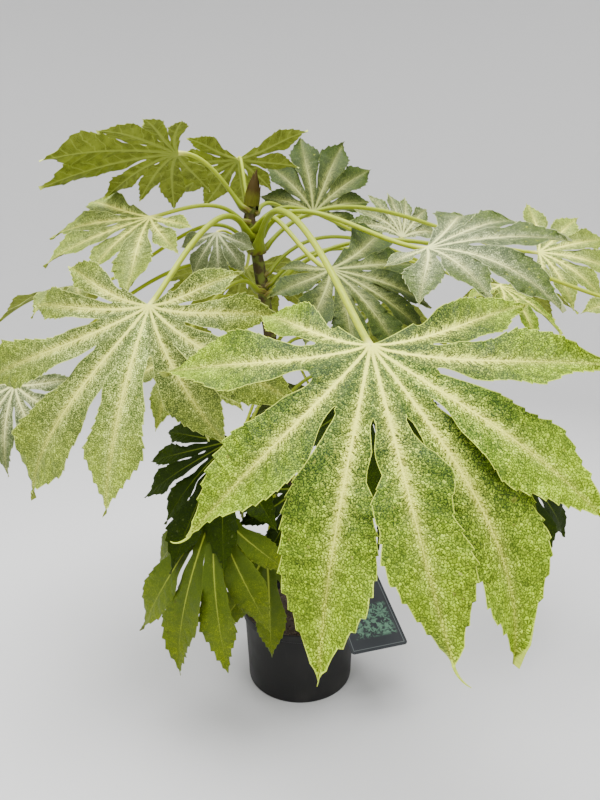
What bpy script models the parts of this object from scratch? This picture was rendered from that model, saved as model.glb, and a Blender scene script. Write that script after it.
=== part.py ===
"""A potted fatsia: a leaning stem with palmate leaves on long petioles, in a round nursery pot.

Metres, +Z up. The origin is the middle of the pot's underside, and the front of the plant faces -Y.
"""

import math
import random

import bmesh
import bpy
from mathutils import Matrix, Vector

# Pot: a round 17 cm nursery pot, one thin moulded shell with a lip
RIM_RADIUS = 0.0860
FOOT_RADIUS = 0.0775
POT_HEIGHT = 0.112
WALL = 0.0014
LIP_HEIGHT = 0.011
LIP_PROUD = 0.0022
FLOOR = 0.002
FOOT_ROUND = 0.0015
DRAIN_HOLES = 6
DRAIN_RADIUS = 0.0055
DRAIN_RING = 0.045
DRAIN_SIDES = 10
RIM_ROUND = 0.0006
DRAFT = 0.0004
INNER_CORNER = 0.001
POT_STEPS = 28
MERGE = 0.00005
WELD = 0.00001

# Compost: fills the pot to just under the lip, with a plain hole for the stem, which leans in it
COMPOST_TOP = 0.094
COMPOST_CROWN = 0.004
CROWN_SHARE = 0.6
GAP = 0.0003
STEM_HOLE_BOTTOM = 0.040
STEM_HOLE_X = -0.0005
STEM_HOLE_SIDES = 20

# Stem: (x, y, z, radius) from its foot in the compost to the top
STEM = (
    (0.000, 0.000, 0.0404, 0.0100),
    (-0.002, 0.000, 0.150, 0.0098),
    (-0.010, 0.000, 0.260, 0.0092),
    (-0.022, 0.000, 0.370, 0.0088),
    (-0.036, 0.000, 0.480, 0.0084),
    (-0.050, 0.000, 0.580, 0.0082),
    (-0.060, 0.000, 0.640, 0.0080),
    (-0.067, 0.000, 0.672, 0.0076),
    (-0.064, 0.000, 0.690, 0.0066),
)
# Growing tip: a pointed bud of brown scales on the end of the stem
BUD = ((0.0, 0.0390), (0.0030, 0.0300), (0.0050, 0.0180), (0.0058, 0.0080), (0.0052, 0.0), (0.0, 0.0))
BUD_SIDES = 10

# Leaf blade: shares of a lobe's length, and angles in degrees
BLADE_THICK = 0.0007
SINUS = 0.27
WIDEST = 0.60
NECK = 0.30
NEIGHBOUR = 0.90
TIP_POWER = 1.6
LEAST_WIDTH = 0.006
SINUS_SPREAD = 17
OUTER_GAP = 40
OUTER_SIDE = 0.10
RIB_BOW = 0.15
LAST_LOBE_SHORT = 0.46
LAST_LOBE_ANGLE = 122
FAN = {9: 245, 7: 208, 5: 150}
ANGLE_DRAW = 3
LENGTH_DRAW = (0.93, 1.05)
BEND_DRAW = (-6, 8)
FOLD = 0.22
WAVE = 0.018
WAVES = 9
TOOTH = 0.020
NOTCH = 0.016
RIB_STATIONS = (0.0, SINUS, 0.62, 1.0)
FINE_RIB_STATIONS = (0.0, SINUS, 0.54, 0.78, 1.0)
SHOULDER = 0.42
TOOTH_FROM = 0.58
TOOTH_TO = 0.93
TOOTH_PLACE = 0.45
TOOTH_STEP = 0.035

# Petiole
PETIOLE_STEPS = 5
PETIOLE_OVER = 0.0012
PETIOLE_TAPER = 0.22
PETIOLE_HEEL = 1.3
PETIOLE_RISE = 52
PETIOLE_FALL = 15
PULL_OUT = 0.38
PULL_IN = 0.34
ARRIVE_ALONG = 0.9
ARRIVE_UP = 0.35

# Leaves: name, colour, lobes, teeth a side, half width of a lobe for its length, height on the stem,
# petiole radius, junction of petiole and blade, heading, tilt below level, roll, longest lobe, bend at
# the junction, bend at the tips
LEAVES = (
    ("leaf_front", "net", 9, 3, 0.152, 0.634, 0.0048, (0.055, -0.36, 0.545), -90, 38, -6, 0.245, 3, 32),
    ("leaf_left", "net", 9, 2, 0.15, 0.65, 0.0046, (-0.155, -0.2, 0.568), -108, 74, 8, 0.215, -15, 36),
    ("leaf_left_high", "net", 7, 2, 0.165, 0.67, 0.0036, (-0.184, -0.056, 0.668), -130, 36, 16,
     0.146, -8, 18),
    ("leaf_top_left", "net", 9, 2, 0.165, 0.684, 0.0038, (-0.153, -0.028, 0.748), 180, 14, -22,
     0.174, -6, 22),
    ("leaf_top_back", "net", 8, 1, 0.165, 0.684, 0.0032, (-0.086, 0.065, 0.757), 100, 36, 5, 0.124, -5, 20),
    ("leaf_back_right", "net", 7, 2, 0.19, 0.681, 0.0036, (0.0195, 0.112, 0.688), 50, -60, -48,
     0.138, -12, 22),
    ("leaf_right_low", "net", 9, 2, 0.165, 0.656, 0.0042, (0.034, -0.125, 0.605), -30, 32, -22,
     0.155, -10, 30),
    ("leaf_right", "net", 7, 2, 0.19, 0.648, 0.0042, (0.144, -0.126, 0.628), -42, 14, -24, 0.168, -12, 26),
    ("leaf_right_back", "net", 7, 1, 0.17, 0.664, 0.0032, (0.15, 0.09, 0.652), 65, -50, -44, 0.098,
     -14, 40),
    ("leaf_far_right", "net", 7, 1, 0.165, 0.632, 0.0038, (0.357, 0.1, 0.631), 0, 4, -50,
     0.135, -6, 24),
    ("leaf_far_right_low", "net", 7, 1, 0.17, 0.575, 0.0038, (0.405, -0.057, 0.564), -35, 42, 0,
     0.12, 0, 40),
    ("leaf_far_right_back", "net", 7, 1, 0.16, 0.6, 0.0034, (0.33, 0.165, 0.575), 25, 12, 6,
     0.13, -5, 30),
    ("leaf_young_front", "net", 5, 1, 0.22, 0.63, 0.0024, (-0.106, -0.032, 0.652), -92, 66, 0,
     0.066, 0, 34),
    ("leaf_left_back", "net", 7, 1, 0.16, 0.646, 0.0034, (-0.3, 0.03, 0.585), 175, 5, 0, 0.13, 0, 35),
    ("leaf_far_left", "net", 7, 1, 0.13, 0.585, 0.0034, (-0.355, -0.09, 0.465), -105, 60, 0, 0.115, -5, 35),
    ("leaf_left_under", "net", 7, 1, 0.14, 0.58, 0.0034, (-0.15, -0.11, 0.505), -50, 40, 0, 0.115, -5, 30),
    ("leaf_dark_left", "green", 7, 1, 0.165, 0.45, 0.003, (-0.088, -0.055, 0.3835), -150, 44, 16,
     0.188, -8, 20),
    ("leaf_hanging_left", "green", 6, 1, 0.125, 0.425, 0.003, (-0.105, -0.12, 0.315), -112, 46, 0,
     0.222, 8, 52),
    ("leaf_hanging_mid", "green", 7, 1, 0.125, 0.33, 0.0028, (-0.045, -0.085, 0.24), -75, 68, 0,
     0.145, -5, 25),
    ("leaf_dark_mid", "green", 7, 1, 0.145, 0.385, 0.0028, (-0.005, -0.08, 0.326), -60, 58, 0,
     0.11, -5, 35),
    ("leaf_dark_side", "green", 7, 1, 0.15, 0.365, 0.0028, (-0.115, 0.055, 0.285), 165, 55, 0,
     0.105, -5, 35),
    ("leaf_dark_front", "green", 7, 1, 0.165, 0.505, 0.003, (0.074, -0.159, 0.467), -90, 60, 0,
     0.13, -5, 30),
    ("leaf_dark_right", "green", 7, 1, 0.16, 0.43, 0.0032, (0.335, 0.03, 0.305), -58, 58, 0, 0.135, -5, 30),
    ("leaf_under_right", "net", 7, 1, 0.15, 0.586, 0.0034, (0.285, 0.049, 0.583), -28, 22, -8,
     0.115, 0, 34),
    ("leaf_back", "net", 9, 1, 0.14, 0.64, 0.004, (-0.09, 0.2, 0.61), 108, 35, 0, 0.19, -10, 40),
    ("leaf_back_far_right", "net", 9, 1, 0.14, 0.572, 0.004, (0.135, 0.24, 0.54), 55, 40, 0, 0.185,
     -10, 40),
    ("leaf_back_left", "net", 9, 1, 0.14, 0.545, 0.0038, (-0.23, 0.15, 0.5), 145, 45, 0, 0.17, -10, 40),
    ("leaf_back_low", "green", 7, 1, 0.125, 0.47, 0.0032, (0.02, 0.17, 0.41), 85, 50, 0, 0.15, -5, 40),
    ("leaf_side_low", "green", 7, 1, 0.125, 0.49, 0.0032, (0.125, 0.13, 0.43), 40, 50, 0, 0.135, -5, 40),
    ("leaf_back_hanging", "green", 7, 1, 0.11, 0.35, 0.003, (-0.08, 0.13, 0.3), 125, 60, 0, 0.13, -5, 35),
    ("leaf_front_right", "green", 7, 1, 0.12, 0.4, 0.003, (0.11, -0.05, 0.345), -35, 55, 0, 0.13, -5, 35),
)
# Lobes of the leaves that show best, as (angle, length, bend at the tip); the rest follow the rule below
LOBES = {
    "leaf_front": (
        (-132, 0.135, 28), (-96, 0.185, 18), (-47, 0.200, 28), (-15, 0.250, 45), (8, 0.235, 34),
        (28, 0.255, 62), (54, 0.215, 38), (82, 0.180, 5), (114, 0.155, 16),
    ),
    "leaf_left": (
        (-112, 0.120, 35), (-90, 0.160, 38), (-65, 0.225, 30), (-37, 0.260, 44), (-9, 0.225, 25),
        (30, 0.175, 48), (61, 0.195, 38), (91, 0.140, 38), (116, 0.105, 36),
    ),
    "leaf_left_high": (
        (-94, 0.136, 20), (-63, 0.146, 20), (-34, 0.142, 14), (-5, 0.115, 18), (30, 0.143, 16),
        (60, 0.085, 20), (92, 0.068, 8),
    ),
    "leaf_top_left": (
        (-102, 0.085, 25), (-68, 0.107, 25), (-38, 0.095, 25), (-13, 0.117, 25), (9, 0.174, 18),
        (31, 0.168, 24), (57, 0.118, 20), (83, 0.093, 20), (108, 0.078, 25),
    ),
    "leaf_top_back": (
        (-120, 0.104, 10), (-84, 0.088, 20), (-46, 0.075, 24), (-8, 0.090, 24), (30, 0.098, 20),
        (62, 0.116, 20), (93, 0.100, 20), (124, 0.085, 15),
    ),
    "leaf_back_right": (
        (-82, 0.080, 22), (-52, 0.100, 22), (-27, 0.131, 20), (-1, 0.138, 20), (29, 0.130, 20),
        (62, 0.110, 20), (95, 0.085, 20),
    ),
    "leaf_right_low": (
        (-128, 0.060, 20), (-95, 0.095, 20), (-64, 0.125, 24), (-38, 0.138, 26), (-13, 0.142, 26),
        (11, 0.140, 26), (36, 0.132, 22), (67, 0.138, 20), (97, 0.155, 20),
    ),
    "leaf_right": (
        (-106, 0.060, 20), (-60, 0.108, 26), (-22, 0.118, 24), (8, 0.168, 40), (44, 0.165, 20),
        (76, 0.150, 24), (104, 0.150, 30),
    ),
    "leaf_right_back": (
        (-48, 0.080, 22), (-18, 0.088, 20), (8, 0.080, 22), (33, 0.080, 20), (58, 0.082, 20),
        (84, 0.084, 22), (108, 0.098, 20),
    ),
    "leaf_far_right": (
        (-95, 0.080, 20), (-62, 0.105, 24), (-32, 0.120, 24), (-5, 0.135, 22), (22, 0.132, 18),
        (49, 0.116, 14), (90, 0.106, 12),
    ),
    "leaf_dark_front": (
        (-88, 0.090, 26), (-56, 0.115, 28), (-27, 0.125, 28), (0, 0.130, 30), (26, 0.125, 28),
        (52, 0.115, 28), (86, 0.090, 26),
    ),
    "leaf_dark_left": (
        (-70, 0.138, 16), (-49, 0.148, 16), (-29, 0.158, 18), (-7, 0.145, 22), (17, 0.188, 18),
        (41, 0.180, 22), (67, 0.150, 28),
    ),
    "leaf_hanging_left": (
        (-52, 0.150, 60), (-30, 0.205, 48), (-10, 0.222, 50), (13, 0.205, 50), (36, 0.175, 62),
        (62, 0.130, 60),
    ),
}

# Label: a slate-coloured card on a strap that is looped round the stem, lying over the rim
CARD_WIDTH = 0.082
CARD_LENGTH = 0.130
CARD_THICK = 0.0008
CARD_CORNER = 0.005
CARD_FOOT = (0.0700, -0.1050, 0.0965)
CARD_ACROSS = (0.970, 0.240, 0.050)
CARD_UP = (-0.250, 0.900, 0.360)
STRAP_WIDTH = 0.010
LOOP_HOLE = 0.0125
LOOP_WIDTH = 0.005
LOOP_HOLE_SIDES = 24
LOOP_STEPS = 14
CORNER_TURNS = (0, 45, 90)
LOOP_TRIES = 4

COLOURS = {
    "net": ((0.42, 0.50, 0.22), 0.55),
    "green": ((0.10, 0.18, 0.03), 0.50),
    "stem": ((0.16, 0.19, 0.06), 0.65),
    "bud": ((0.07, 0.05, 0.02), 0.60),
    "pot": ((0.020, 0.019, 0.017), 0.55),
    "compost": ((0.035, 0.022, 0.014), 0.95),
    "label": ((0.030, 0.036, 0.042), 0.45),
}


def clear_scene():
    for obj in list(bpy.data.objects):
        bpy.data.objects.remove(obj)


def new_collection(name):
    collection = bpy.data.collections.new(name)
    bpy.context.scene.collection.children.link(collection)
    return collection


def make_material(name):
    colour, roughness = COLOURS[name]
    material = bpy.data.materials.new(name)
    material.use_nodes = True
    shader = material.node_tree.nodes["Principled BSDF"]
    shader.inputs["Base Color"].default_value = (*colour, 1.0)
    shader.inputs["Roughness"].default_value = roughness
    shader.inputs["Metallic"].default_value = 0.0
    return material


def add_object(name, data, collection, material=None):
    obj = bpy.data.objects.new(name, data)
    collection.objects.link(obj)
    if material:
        data.materials.append(material)
    return obj


def hide_cutter(obj):
    obj.hide_render = True
    obj.display_type = "WIRE"


def turned(name, profile, steps, collection, material=None):
    """A profile of (radius, z) turned about Z; it runs down its outer side."""
    mesh = bpy.data.meshes.new(name)
    points = [(radius, 0.0, z) for radius, z in profile]
    edges = [(i, i + 1) for i in range(len(points) - 1)]
    mesh.from_pydata(points, edges, [])
    obj = add_object(name, mesh, collection, material)
    screw = obj.modifiers.new("Turn", "SCREW")
    screw.axis = "Z"
    screw.angle = 2 * math.pi
    screw.steps = steps
    screw.render_steps = steps
    screw.use_merge_vertices = True
    screw.merge_threshold = MERGE
    screw.use_smooth_shade = True
    return obj


def cylinder(name, radius, low, high, place, collection, sides):
    """A closed upright cylinder from z = low to z = high at (x, y)."""
    mesh = bpy.data.meshes.new(name)
    work = bmesh.new()
    depth = high - low
    bmesh.ops.create_cone(work, cap_ends=True, segments=sides, radius1=radius, radius2=radius, depth=depth)
    work.to_mesh(mesh)
    work.free()
    obj = add_object(name, mesh, collection)
    obj.location = (place[0], place[1], (low + high) / 2)
    return obj


def cut(obj, cutter):
    boolean = obj.modifiers.new("Cut " + cutter.name, "BOOLEAN")
    boolean.operation = "DIFFERENCE"
    boolean.object = cutter


def tube(name, points, radii, collection, sides_from=1):
    """A poly-line tube with filled caps, made a closed mesh."""
    curve = bpy.data.curves.new(name, "CURVE")
    curve.dimensions = "3D"
    curve.bevel_depth = 1.0
    curve.bevel_resolution = sides_from
    curve.use_fill_caps = True
    spline = curve.splines.new("POLY")
    spline.points.add(len(points) - 1)
    for control, point, radius in zip(spline.points, points, radii):
        control.co = (*point, 1.0)
        control.radius = radius
    obj = bpy.data.objects.new(name + "_curve", curve)
    collection.objects.link(obj)
    bpy.context.view_layer.update()
    evaluated = obj.evaluated_get(bpy.context.evaluated_depsgraph_get())
    mesh = bpy.data.meshes.new_from_object(evaluated)
    work = bmesh.new()
    work.from_mesh(mesh)
    bmesh.ops.remove_doubles(work, verts=work.verts, dist=WELD)
    bmesh.ops.triangulate(work, faces=work.faces)
    work.to_mesh(mesh)
    work.free()
    solid = add_object(name, mesh, collection)
    solid.matrix_world = obj.matrix_world.copy()
    bpy.data.objects.remove(obj)
    bpy.data.curves.remove(curve)
    return solid


def apply_modifiers(obj):
    """The object's mesh becomes its evaluated mesh."""
    bpy.context.view_layer.update()
    evaluated = obj.evaluated_get(bpy.context.evaluated_depsgraph_get())
    mesh = bpy.data.meshes.new_from_object(evaluated)
    obj.modifiers.clear()
    obj.data = mesh


def stem_at(height):
    """The stem's middle, radius and direction at a height."""
    for low, high in zip(STEM, STEM[1:]):
        if height <= high[2]:
            break
    share = (height - low[2]) / (high[2] - low[2])
    grow = Vector(high[:3]) - Vector(low[:3])
    return Vector(low[:3]) + grow * share, low[3] + share * (high[3] - low[3]), grow.normalized()


def leaf_axes(heading, tilt, roll):
    """The leaf plane: along its middle lobe, across it to the left, and up out of the upper face."""
    a, t, r = math.radians(heading), math.radians(tilt), math.radians(roll)
    along = Vector((math.cos(a) * math.cos(t), math.sin(a) * math.cos(t), -math.sin(t)))
    face = Vector((math.cos(a) * math.sin(t), math.sin(a) * math.sin(t), math.cos(t)))
    across = face.cross(along)
    up = face * math.cos(r) + across * math.sin(r)
    return along, across * math.cos(r) - face * math.sin(r), up


def lobe_plan(name, count, length, bend):
    """Each lobe's angle, length and bend at the tip: the named ones, or an even fan with slight variety."""
    if name in LOBES:
        return [(math.radians(angle), size, math.radians(tip)) for angle, size, tip in LOBES[name]]
    draw = random.Random(name)
    plan = []
    for i in range(count):
        angle = FAN[count] * (i / (count - 1) - 0.5)
        size = length * (1 - LAST_LOBE_SHORT * (angle / LAST_LOBE_ANGLE) ** 2)
        angle += draw.uniform(-ANGLE_DRAW, ANGLE_DRAW)
        size *= draw.uniform(*LENGTH_DRAW)
        plan.append((math.radians(angle), size, math.radians(bend + draw.uniform(*BEND_DRAW))))
    return plan


def rib(lobe, start, u):
    """How far the rib has gone out and down at u of its length, and its slope there."""
    _, size, end = lobe
    turn = end - start
    slope = start + turn * u
    if abs(turn) < 0.001:
        return size * u * math.cos(start), size * u * math.sin(start), slope
    out = size * (math.sin(slope) - math.sin(start)) / turn
    down = size * (math.cos(start) - math.cos(slope)) / turn
    return out, down, slope


def blade_point(lobe, start, u, side, wave=0.0):
    """A point of the upper face in the leaf plane's axes; the blade rises from the rib towards its edges.

    The ribs of the side lobes leave the junction more sideways, and bow back to their own angle.
    """
    angle, size, _ = lobe
    out, down, slope = rib(lobe, start, u)
    lift = FOLD * abs(side) + wave
    side -= RIB_BOW * size * angle * u * (1 - u) ** 2
    out += lift * math.sin(slope)
    height = lift * math.cos(slope) - down
    x = out * math.cos(angle) - side * math.sin(angle)
    y = out * math.sin(angle) + side * math.cos(angle)
    return Vector((x, y, height))


def half_width(u, size, full, sinus_side, half_gap):
    """Half the lobe's width at u, kept inside the line halfway to the next lobe."""
    if u < WIDEST:
        share = (u - SINUS) / (WIDEST - SINUS)
        neck = sinus_side * (1 - NECK * math.sin(math.pi * share))
        width = neck + (full - neck) * share * share * (3 - 2 * share)
    else:
        width = full * (1 - ((u - WIDEST) / (1 - WIDEST)) ** TIP_POWER)
    return min(width, NEIGHBOUR * u * size * math.tan(half_gap))


def margin(lobe, start, teeth, full, sinus, half_gap, side, phase):
    """Points of one free margin from the sinus to just short of the tip, with forward teeth."""
    _, size, _ = lobe
    sinus_side = SINUS * size * math.tan(min(half_gap, math.radians(SINUS_SPREAD)))
    edge = [(SHOULDER, 0.0)]
    step = (TOOTH_TO - TOOTH_FROM) / teeth
    for k in range(teeth):
        u = TOOTH_FROM + (k + TOOTH_PLACE) * step
        edge.append((u, TOOTH))
        edge.append((u + TOOTH_STEP, -NOTCH))
    points = []
    for u, jut in edge:
        width = half_width(u, size, full * size, sinus_side, half_gap) + jut * size
        width = max(width, LEAST_WIDTH * size)
        wave = WAVE * size * math.sin(WAVES * u + phase)
        points.append((u, blade_point(lobe, start, u, side * width, wave)))
    return [(SINUS, sinus)] + points


def zip_faces(work, left, right):
    """Triangles between two rows of (u, vertex) that start and end at shared vertices."""
    i = j = 0
    while i < len(left) - 1 or j < len(right) - 1:
        step_left = j == len(right) - 1 or (i < len(left) - 1 and left[i + 1][0] <= right[j + 1][0])
        if step_left:
            corners = (left[i][1], left[i + 1][1], right[j][1])
            i += 1
        else:
            corners = (left[i][1], right[j + 1][1], right[j][1])
            j += 1
        if len(set(corners)) == 3:
            work.faces.new(corners)


def blade_mesh(name, lobes, start, teeth, full):
    """The blade's upper face as an open sheet in the leaf plane's axes."""
    work = bmesh.new()
    middle = work.verts.new((0, 0, 0))
    stations = FINE_RIB_STATIONS if teeth > 1 else RIB_STATIONS
    tips = [work.verts.new(blade_point(lobe, start, 1.0, 0.0)) for lobe in lobes]
    ribs = []
    for lobe, tip in zip(lobes, tips):
        row = [(0.0, middle)]
        row += [(u, work.verts.new(blade_point(lobe, start, u, 0.0))) for u in stations[1:-1]]
        ribs.append(row + [(1.0, tip)])
    draw = random.Random(name + " margin")
    sinuses = []
    gaps = []
    for first, second in zip(lobes, lobes[1:]):
        half = (second[0] - first[0]) / 2
        radius = SINUS * (first[1] + second[1]) / 2
        along, aside = radius * math.cos(half), radius * math.sin(half)
        a = blade_point(first, start, along / first[1], aside)
        b = blade_point(second, start, along / second[1], -aside)
        sinuses.append(work.verts.new((a + b) / 2))
        gaps.append(half)
    for i, lobe in enumerate(lobes):
        for side in (-1, 1):
            neighbour = i - 1 if side < 0 else i
            if 0 <= neighbour < len(gaps):
                sinus = sinuses[neighbour]
                half_gap = gaps[neighbour]
            else:
                half_gap = math.radians(OUTER_GAP)
                outer = blade_point(lobe, start, SINUS, side * OUTER_SIDE * lobe[1])
                sinus = work.verts.new(outer)
            row = margin(lobe, start, teeth, full, sinus, half_gap, side, draw.uniform(0, 6))
            edge = [(0.0, middle), row[0]]
            edge += [(u, work.verts.new(point)) for u, point in row[1:]]
            edge.append((1.0, tips[i]))
            if side > 0:
                zip_faces(work, edge, ribs[i])
            else:
                zip_faces(work, ribs[i], edge)
    mesh = bpy.data.meshes.new(name)
    work.to_mesh(mesh)
    work.free()
    return mesh


def petiole_path(height, radius, junction, along, up):
    """From the stem's side, up and over in an arch, and into the back of the blade."""
    middle, stem_radius, grow = stem_at(height)
    flat = Vector((junction.x - middle.x, junction.y - middle.y, 0)).normalized()
    side = (flat - grow * flat.dot(grow)).normalized()
    seat = middle + side * (stem_radius + GAP)
    foot = seat + side * radius * PETIOLE_HEEL
    rise = math.radians(PETIOLE_RISE)
    leave = flat * math.cos(rise) + Vector((0, 0, math.sin(rise)))
    reach = (junction - foot).length
    drop = math.radians(PETIOLE_FALL)
    fall = flat * math.cos(drop) - Vector((0, 0, math.sin(drop)))
    arrive = (fall + along * ARRIVE_ALONG + up * ARRIVE_UP).normalized()
    end = junction + arrive * PETIOLE_OVER
    pull_out = foot + leave * reach * PULL_OUT
    pull_in = junction - arrive * reach * PULL_IN
    points = [seat]
    for i in range(PETIOLE_STEPS + 1):
        t = i / PETIOLE_STEPS
        s = 1 - t
        points.append(s**3 * foot + 3 * s * s * t * pull_out + 3 * s * t * t * pull_in + t**3 * junction)
    points[-1] = end
    return points


def make_leaf(row, collection, scraps, materials):
    name, colour, count, teeth, full, height, radius, place, heading, tilt, roll, length, start, bend = row
    along, across, up = leaf_axes(heading, tilt, roll)
    junction = Vector(place)
    turn = Matrix((along, across, up)).transposed()
    lobes = lobe_plan(name, count, length, bend)
    blade = add_object(name, blade_mesh(name, lobes, math.radians(start), teeth, full), collection)
    blade.matrix_world = Matrix.Translation(junction) @ turn.to_4x4()
    solidify = blade.modifiers.new("Thickness", "SOLIDIFY")
    solidify.thickness = BLADE_THICK
    solidify.offset = 0.0
    apply_modifiers(blade)
    path = petiole_path(height, radius, junction, along, up)
    radii = [radius * (1.0 - PETIOLE_TAPER * i / len(path)) for i in range(len(path))]
    tube(name + "_petiole", path, radii, scraps)
    union = blade.modifiers.new("Grown as one", "BOOLEAN")
    union.operation = "UNION"
    union.operand_type = "COLLECTION"
    union.collection = scraps
    apply_modifiers(blade)
    blade.data.materials.clear()
    blade.data.materials.append(materials[colour])
    for scrap in list(scraps.objects):
        bpy.data.objects.remove(scrap)
    return blade


def make_stem(collection, materials):
    points = [Vector(row[:3]) for row in STEM]
    stem = tube("stem", points, [row[3] for row in STEM], collection, 3)
    stem.data.materials.append(materials["stem"])
    bud = turned("growing_tip", BUD, BUD_SIDES, collection, materials["bud"])
    grow = (points[-1] - points[-2]).normalized()
    bud.location = points[-1] + grow * GAP
    bud.rotation_euler = grow.to_track_quat("Z", "Y").to_euler()
    return stem, bud


def lip_foot():
    """Height of the lip's lower edge, and the wall's radius there."""
    height = POT_HEIGHT - LIP_HEIGHT
    return height, FOOT_RADIUS + (RIM_RADIUS - LIP_PROUD - FOOT_RADIUS) * height / POT_HEIGHT


def make_pot(collection, cutters, materials):
    lip_low, under_lip = lip_foot()
    outside = [
        (RIM_RADIUS - WALL, POT_HEIGHT),
        (RIM_RADIUS - RIM_ROUND / 2, POT_HEIGHT),
        (RIM_RADIUS, POT_HEIGHT - RIM_ROUND),
        (RIM_RADIUS - DRAFT, lip_low),
        (under_lip, lip_low),
        (FOOT_RADIUS + DRAFT, FOOT_ROUND),
        (FOOT_RADIUS - FOOT_ROUND, 0.0),
        (0.0, 0.0),
    ]
    inside = [
        (0.0, FLOOR),
        (FOOT_RADIUS - WALL - INNER_CORNER, FLOOR),
        (under_lip - WALL, lip_low - WALL),
        (RIM_RADIUS - WALL - RIM_ROUND, lip_low + WALL),
        (RIM_RADIUS - WALL, POT_HEIGHT),
    ]
    pot = turned("pot", outside + inside, POT_STEPS, collection, materials["pot"])
    for i in range(DRAIN_HOLES):
        angle = 2 * math.pi * i / DRAIN_HOLES
        place = (DRAIN_RING * math.cos(angle), DRAIN_RING * math.sin(angle))
        drain = cylinder("drain_%d" % i, DRAIN_RADIUS, -FLOOR, 2 * FLOOR, place, cutters, DRAIN_SIDES)
        hide_cutter(drain)
        cut(pot, drain)
    return pot


def make_compost(collection, cutters, materials):
    lip_low, under_lip = lip_foot()
    foot = FOOT_RADIUS - WALL - INNER_CORNER
    top = foot + (under_lip - WALL - foot) * (COMPOST_TOP - FLOOR) / (lip_low - WALL - FLOOR)
    profile = [
        (0.0, COMPOST_TOP + COMPOST_CROWN),
        (top * CROWN_SHARE, COMPOST_TOP + COMPOST_CROWN * CROWN_SHARE),
        (top - 2 * GAP, COMPOST_TOP),
        (foot - 2 * GAP, FLOOR + GAP),
        (0.0, FLOOR + GAP),
    ]
    compost = turned("compost", profile, POT_STEPS, collection, materials["compost"])
    wide = STEM[0][3] + 2 * GAP
    place = (STEM_HOLE_X, 0.0)
    hole = cylinder("stem_hole", wide, STEM_HOLE_BOTTOM, POT_HEIGHT, place, cutters, STEM_HOLE_SIDES)
    hide_cutter(hole)
    cut(compost, hole)
    return compost


def card_outline():
    """Card, strap and loop in the card's own plane: x across, y up from the lower left corner."""
    loop = LOOP_HOLE + LOOP_WIDTH
    middle = loop_middle()
    half = STRAP_WIDTH / 2
    right, top = CARD_WIDTH - CARD_CORNER, CARD_LENGTH - CARD_CORNER
    left = low = CARD_CORNER
    points = []
    for x, y, turn in ((left, low, 180), (right, low, 270), (right, top, 0), (left, top, 90)):
        for step in CORNER_TURNS:
            angle = math.radians(turn + step)
            points.append((x + CARD_CORNER * math.cos(angle), y + CARD_CORNER * math.sin(angle)))
    points.append((0.0, middle[1] + half))
    spread = math.degrees(math.asin(half / loop))
    for step in range(LOOP_STEPS + 1):
        angle = math.radians(spread + (360 - 2 * spread) * step / LOOP_STEPS)
        points.append((middle[0] + loop * math.cos(angle), middle[1] + loop * math.sin(angle)))
    points.append((0.0, middle[1] - half))
    return points


def card_axes():
    across = Vector(CARD_ACROSS).normalized()
    up = Vector(CARD_UP)
    up = (up - across * up.dot(across)).normalized()
    return across, up, across.cross(up)


def loop_middle():
    """Where the stem's axis crosses the card's plane, moved until the loop bears on the stem."""
    across, up, face = card_axes()
    foot = Vector(CARD_FOOT)
    height = foot.z
    for _ in range(LOOP_TRIES):
        middle, radius, _ = stem_at(height)
        height = foot.z - ((middle - foot).xy.dot(face.xy)) / face.z
    middle = Vector((middle.x, middle.y, height))
    slack = LOOP_HOLE - radius - GAP
    return (middle - foot).dot(across) + slack, (middle - foot).dot(up)


def make_label(collection, materials):
    middle = loop_middle()
    curve = bpy.data.curves.new("label", "CURVE")
    curve.dimensions = "2D"
    curve.fill_mode = "BOTH"
    curve.extrude = CARD_THICK / 2
    hole = []
    for step in range(LOOP_HOLE_SIDES):
        angle = 2 * math.pi * step / LOOP_HOLE_SIDES
        hole.append((middle[0] + LOOP_HOLE * math.cos(angle), middle[1] + LOOP_HOLE * math.sin(angle)))
    for outline in (card_outline(), hole):
        spline = curve.splines.new("POLY")
        spline.points.add(len(outline) - 1)
        spline.use_cyclic_u = True
        for control, point in zip(spline.points, outline):
            control.co = (*point, 0.0, 1.0)
    across, up, face = card_axes()
    label = add_object("label", curve, collection, materials["label"])
    turn = Matrix((across, up, face)).transposed()
    label.matrix_world = Matrix.Translation(Vector(CARD_FOOT)) @ turn.to_4x4()
    return label


def build():
    clear_scene()
    plant = new_collection("potted_fatsia")
    cutters = new_collection("cutters")
    scraps = new_collection("scraps")
    materials = {name: make_material(name) for name in COLOURS}
    make_pot(plant, cutters, materials)
    make_compost(plant, cutters, materials)
    make_stem(plant, materials)
    make_label(plant, materials)
    for row in LEAVES:
        make_leaf(row, plant, scraps, materials)


build()
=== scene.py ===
import math
import random

import bpy
import numpy as np
from mathutils import Matrix, Vector, noise


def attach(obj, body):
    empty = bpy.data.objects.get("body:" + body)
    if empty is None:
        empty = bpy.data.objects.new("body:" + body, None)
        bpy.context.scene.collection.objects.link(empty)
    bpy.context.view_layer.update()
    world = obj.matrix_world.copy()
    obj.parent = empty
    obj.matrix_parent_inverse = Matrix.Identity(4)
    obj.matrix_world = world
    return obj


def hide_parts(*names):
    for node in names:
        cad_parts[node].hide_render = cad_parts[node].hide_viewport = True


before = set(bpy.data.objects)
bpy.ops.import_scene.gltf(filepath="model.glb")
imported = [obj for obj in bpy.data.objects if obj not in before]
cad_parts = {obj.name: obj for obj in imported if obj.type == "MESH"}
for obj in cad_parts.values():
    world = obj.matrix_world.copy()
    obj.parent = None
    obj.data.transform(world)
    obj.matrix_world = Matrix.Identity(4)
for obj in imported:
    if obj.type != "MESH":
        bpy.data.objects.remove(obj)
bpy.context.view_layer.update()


# Studio: a pale matt floor that curves up into a wall all round, three large soft lamps and the camera.
# Painted board and cloth-covered lamps; none of it belongs to the plant.
FLOOR_REACH = 2.3
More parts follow.
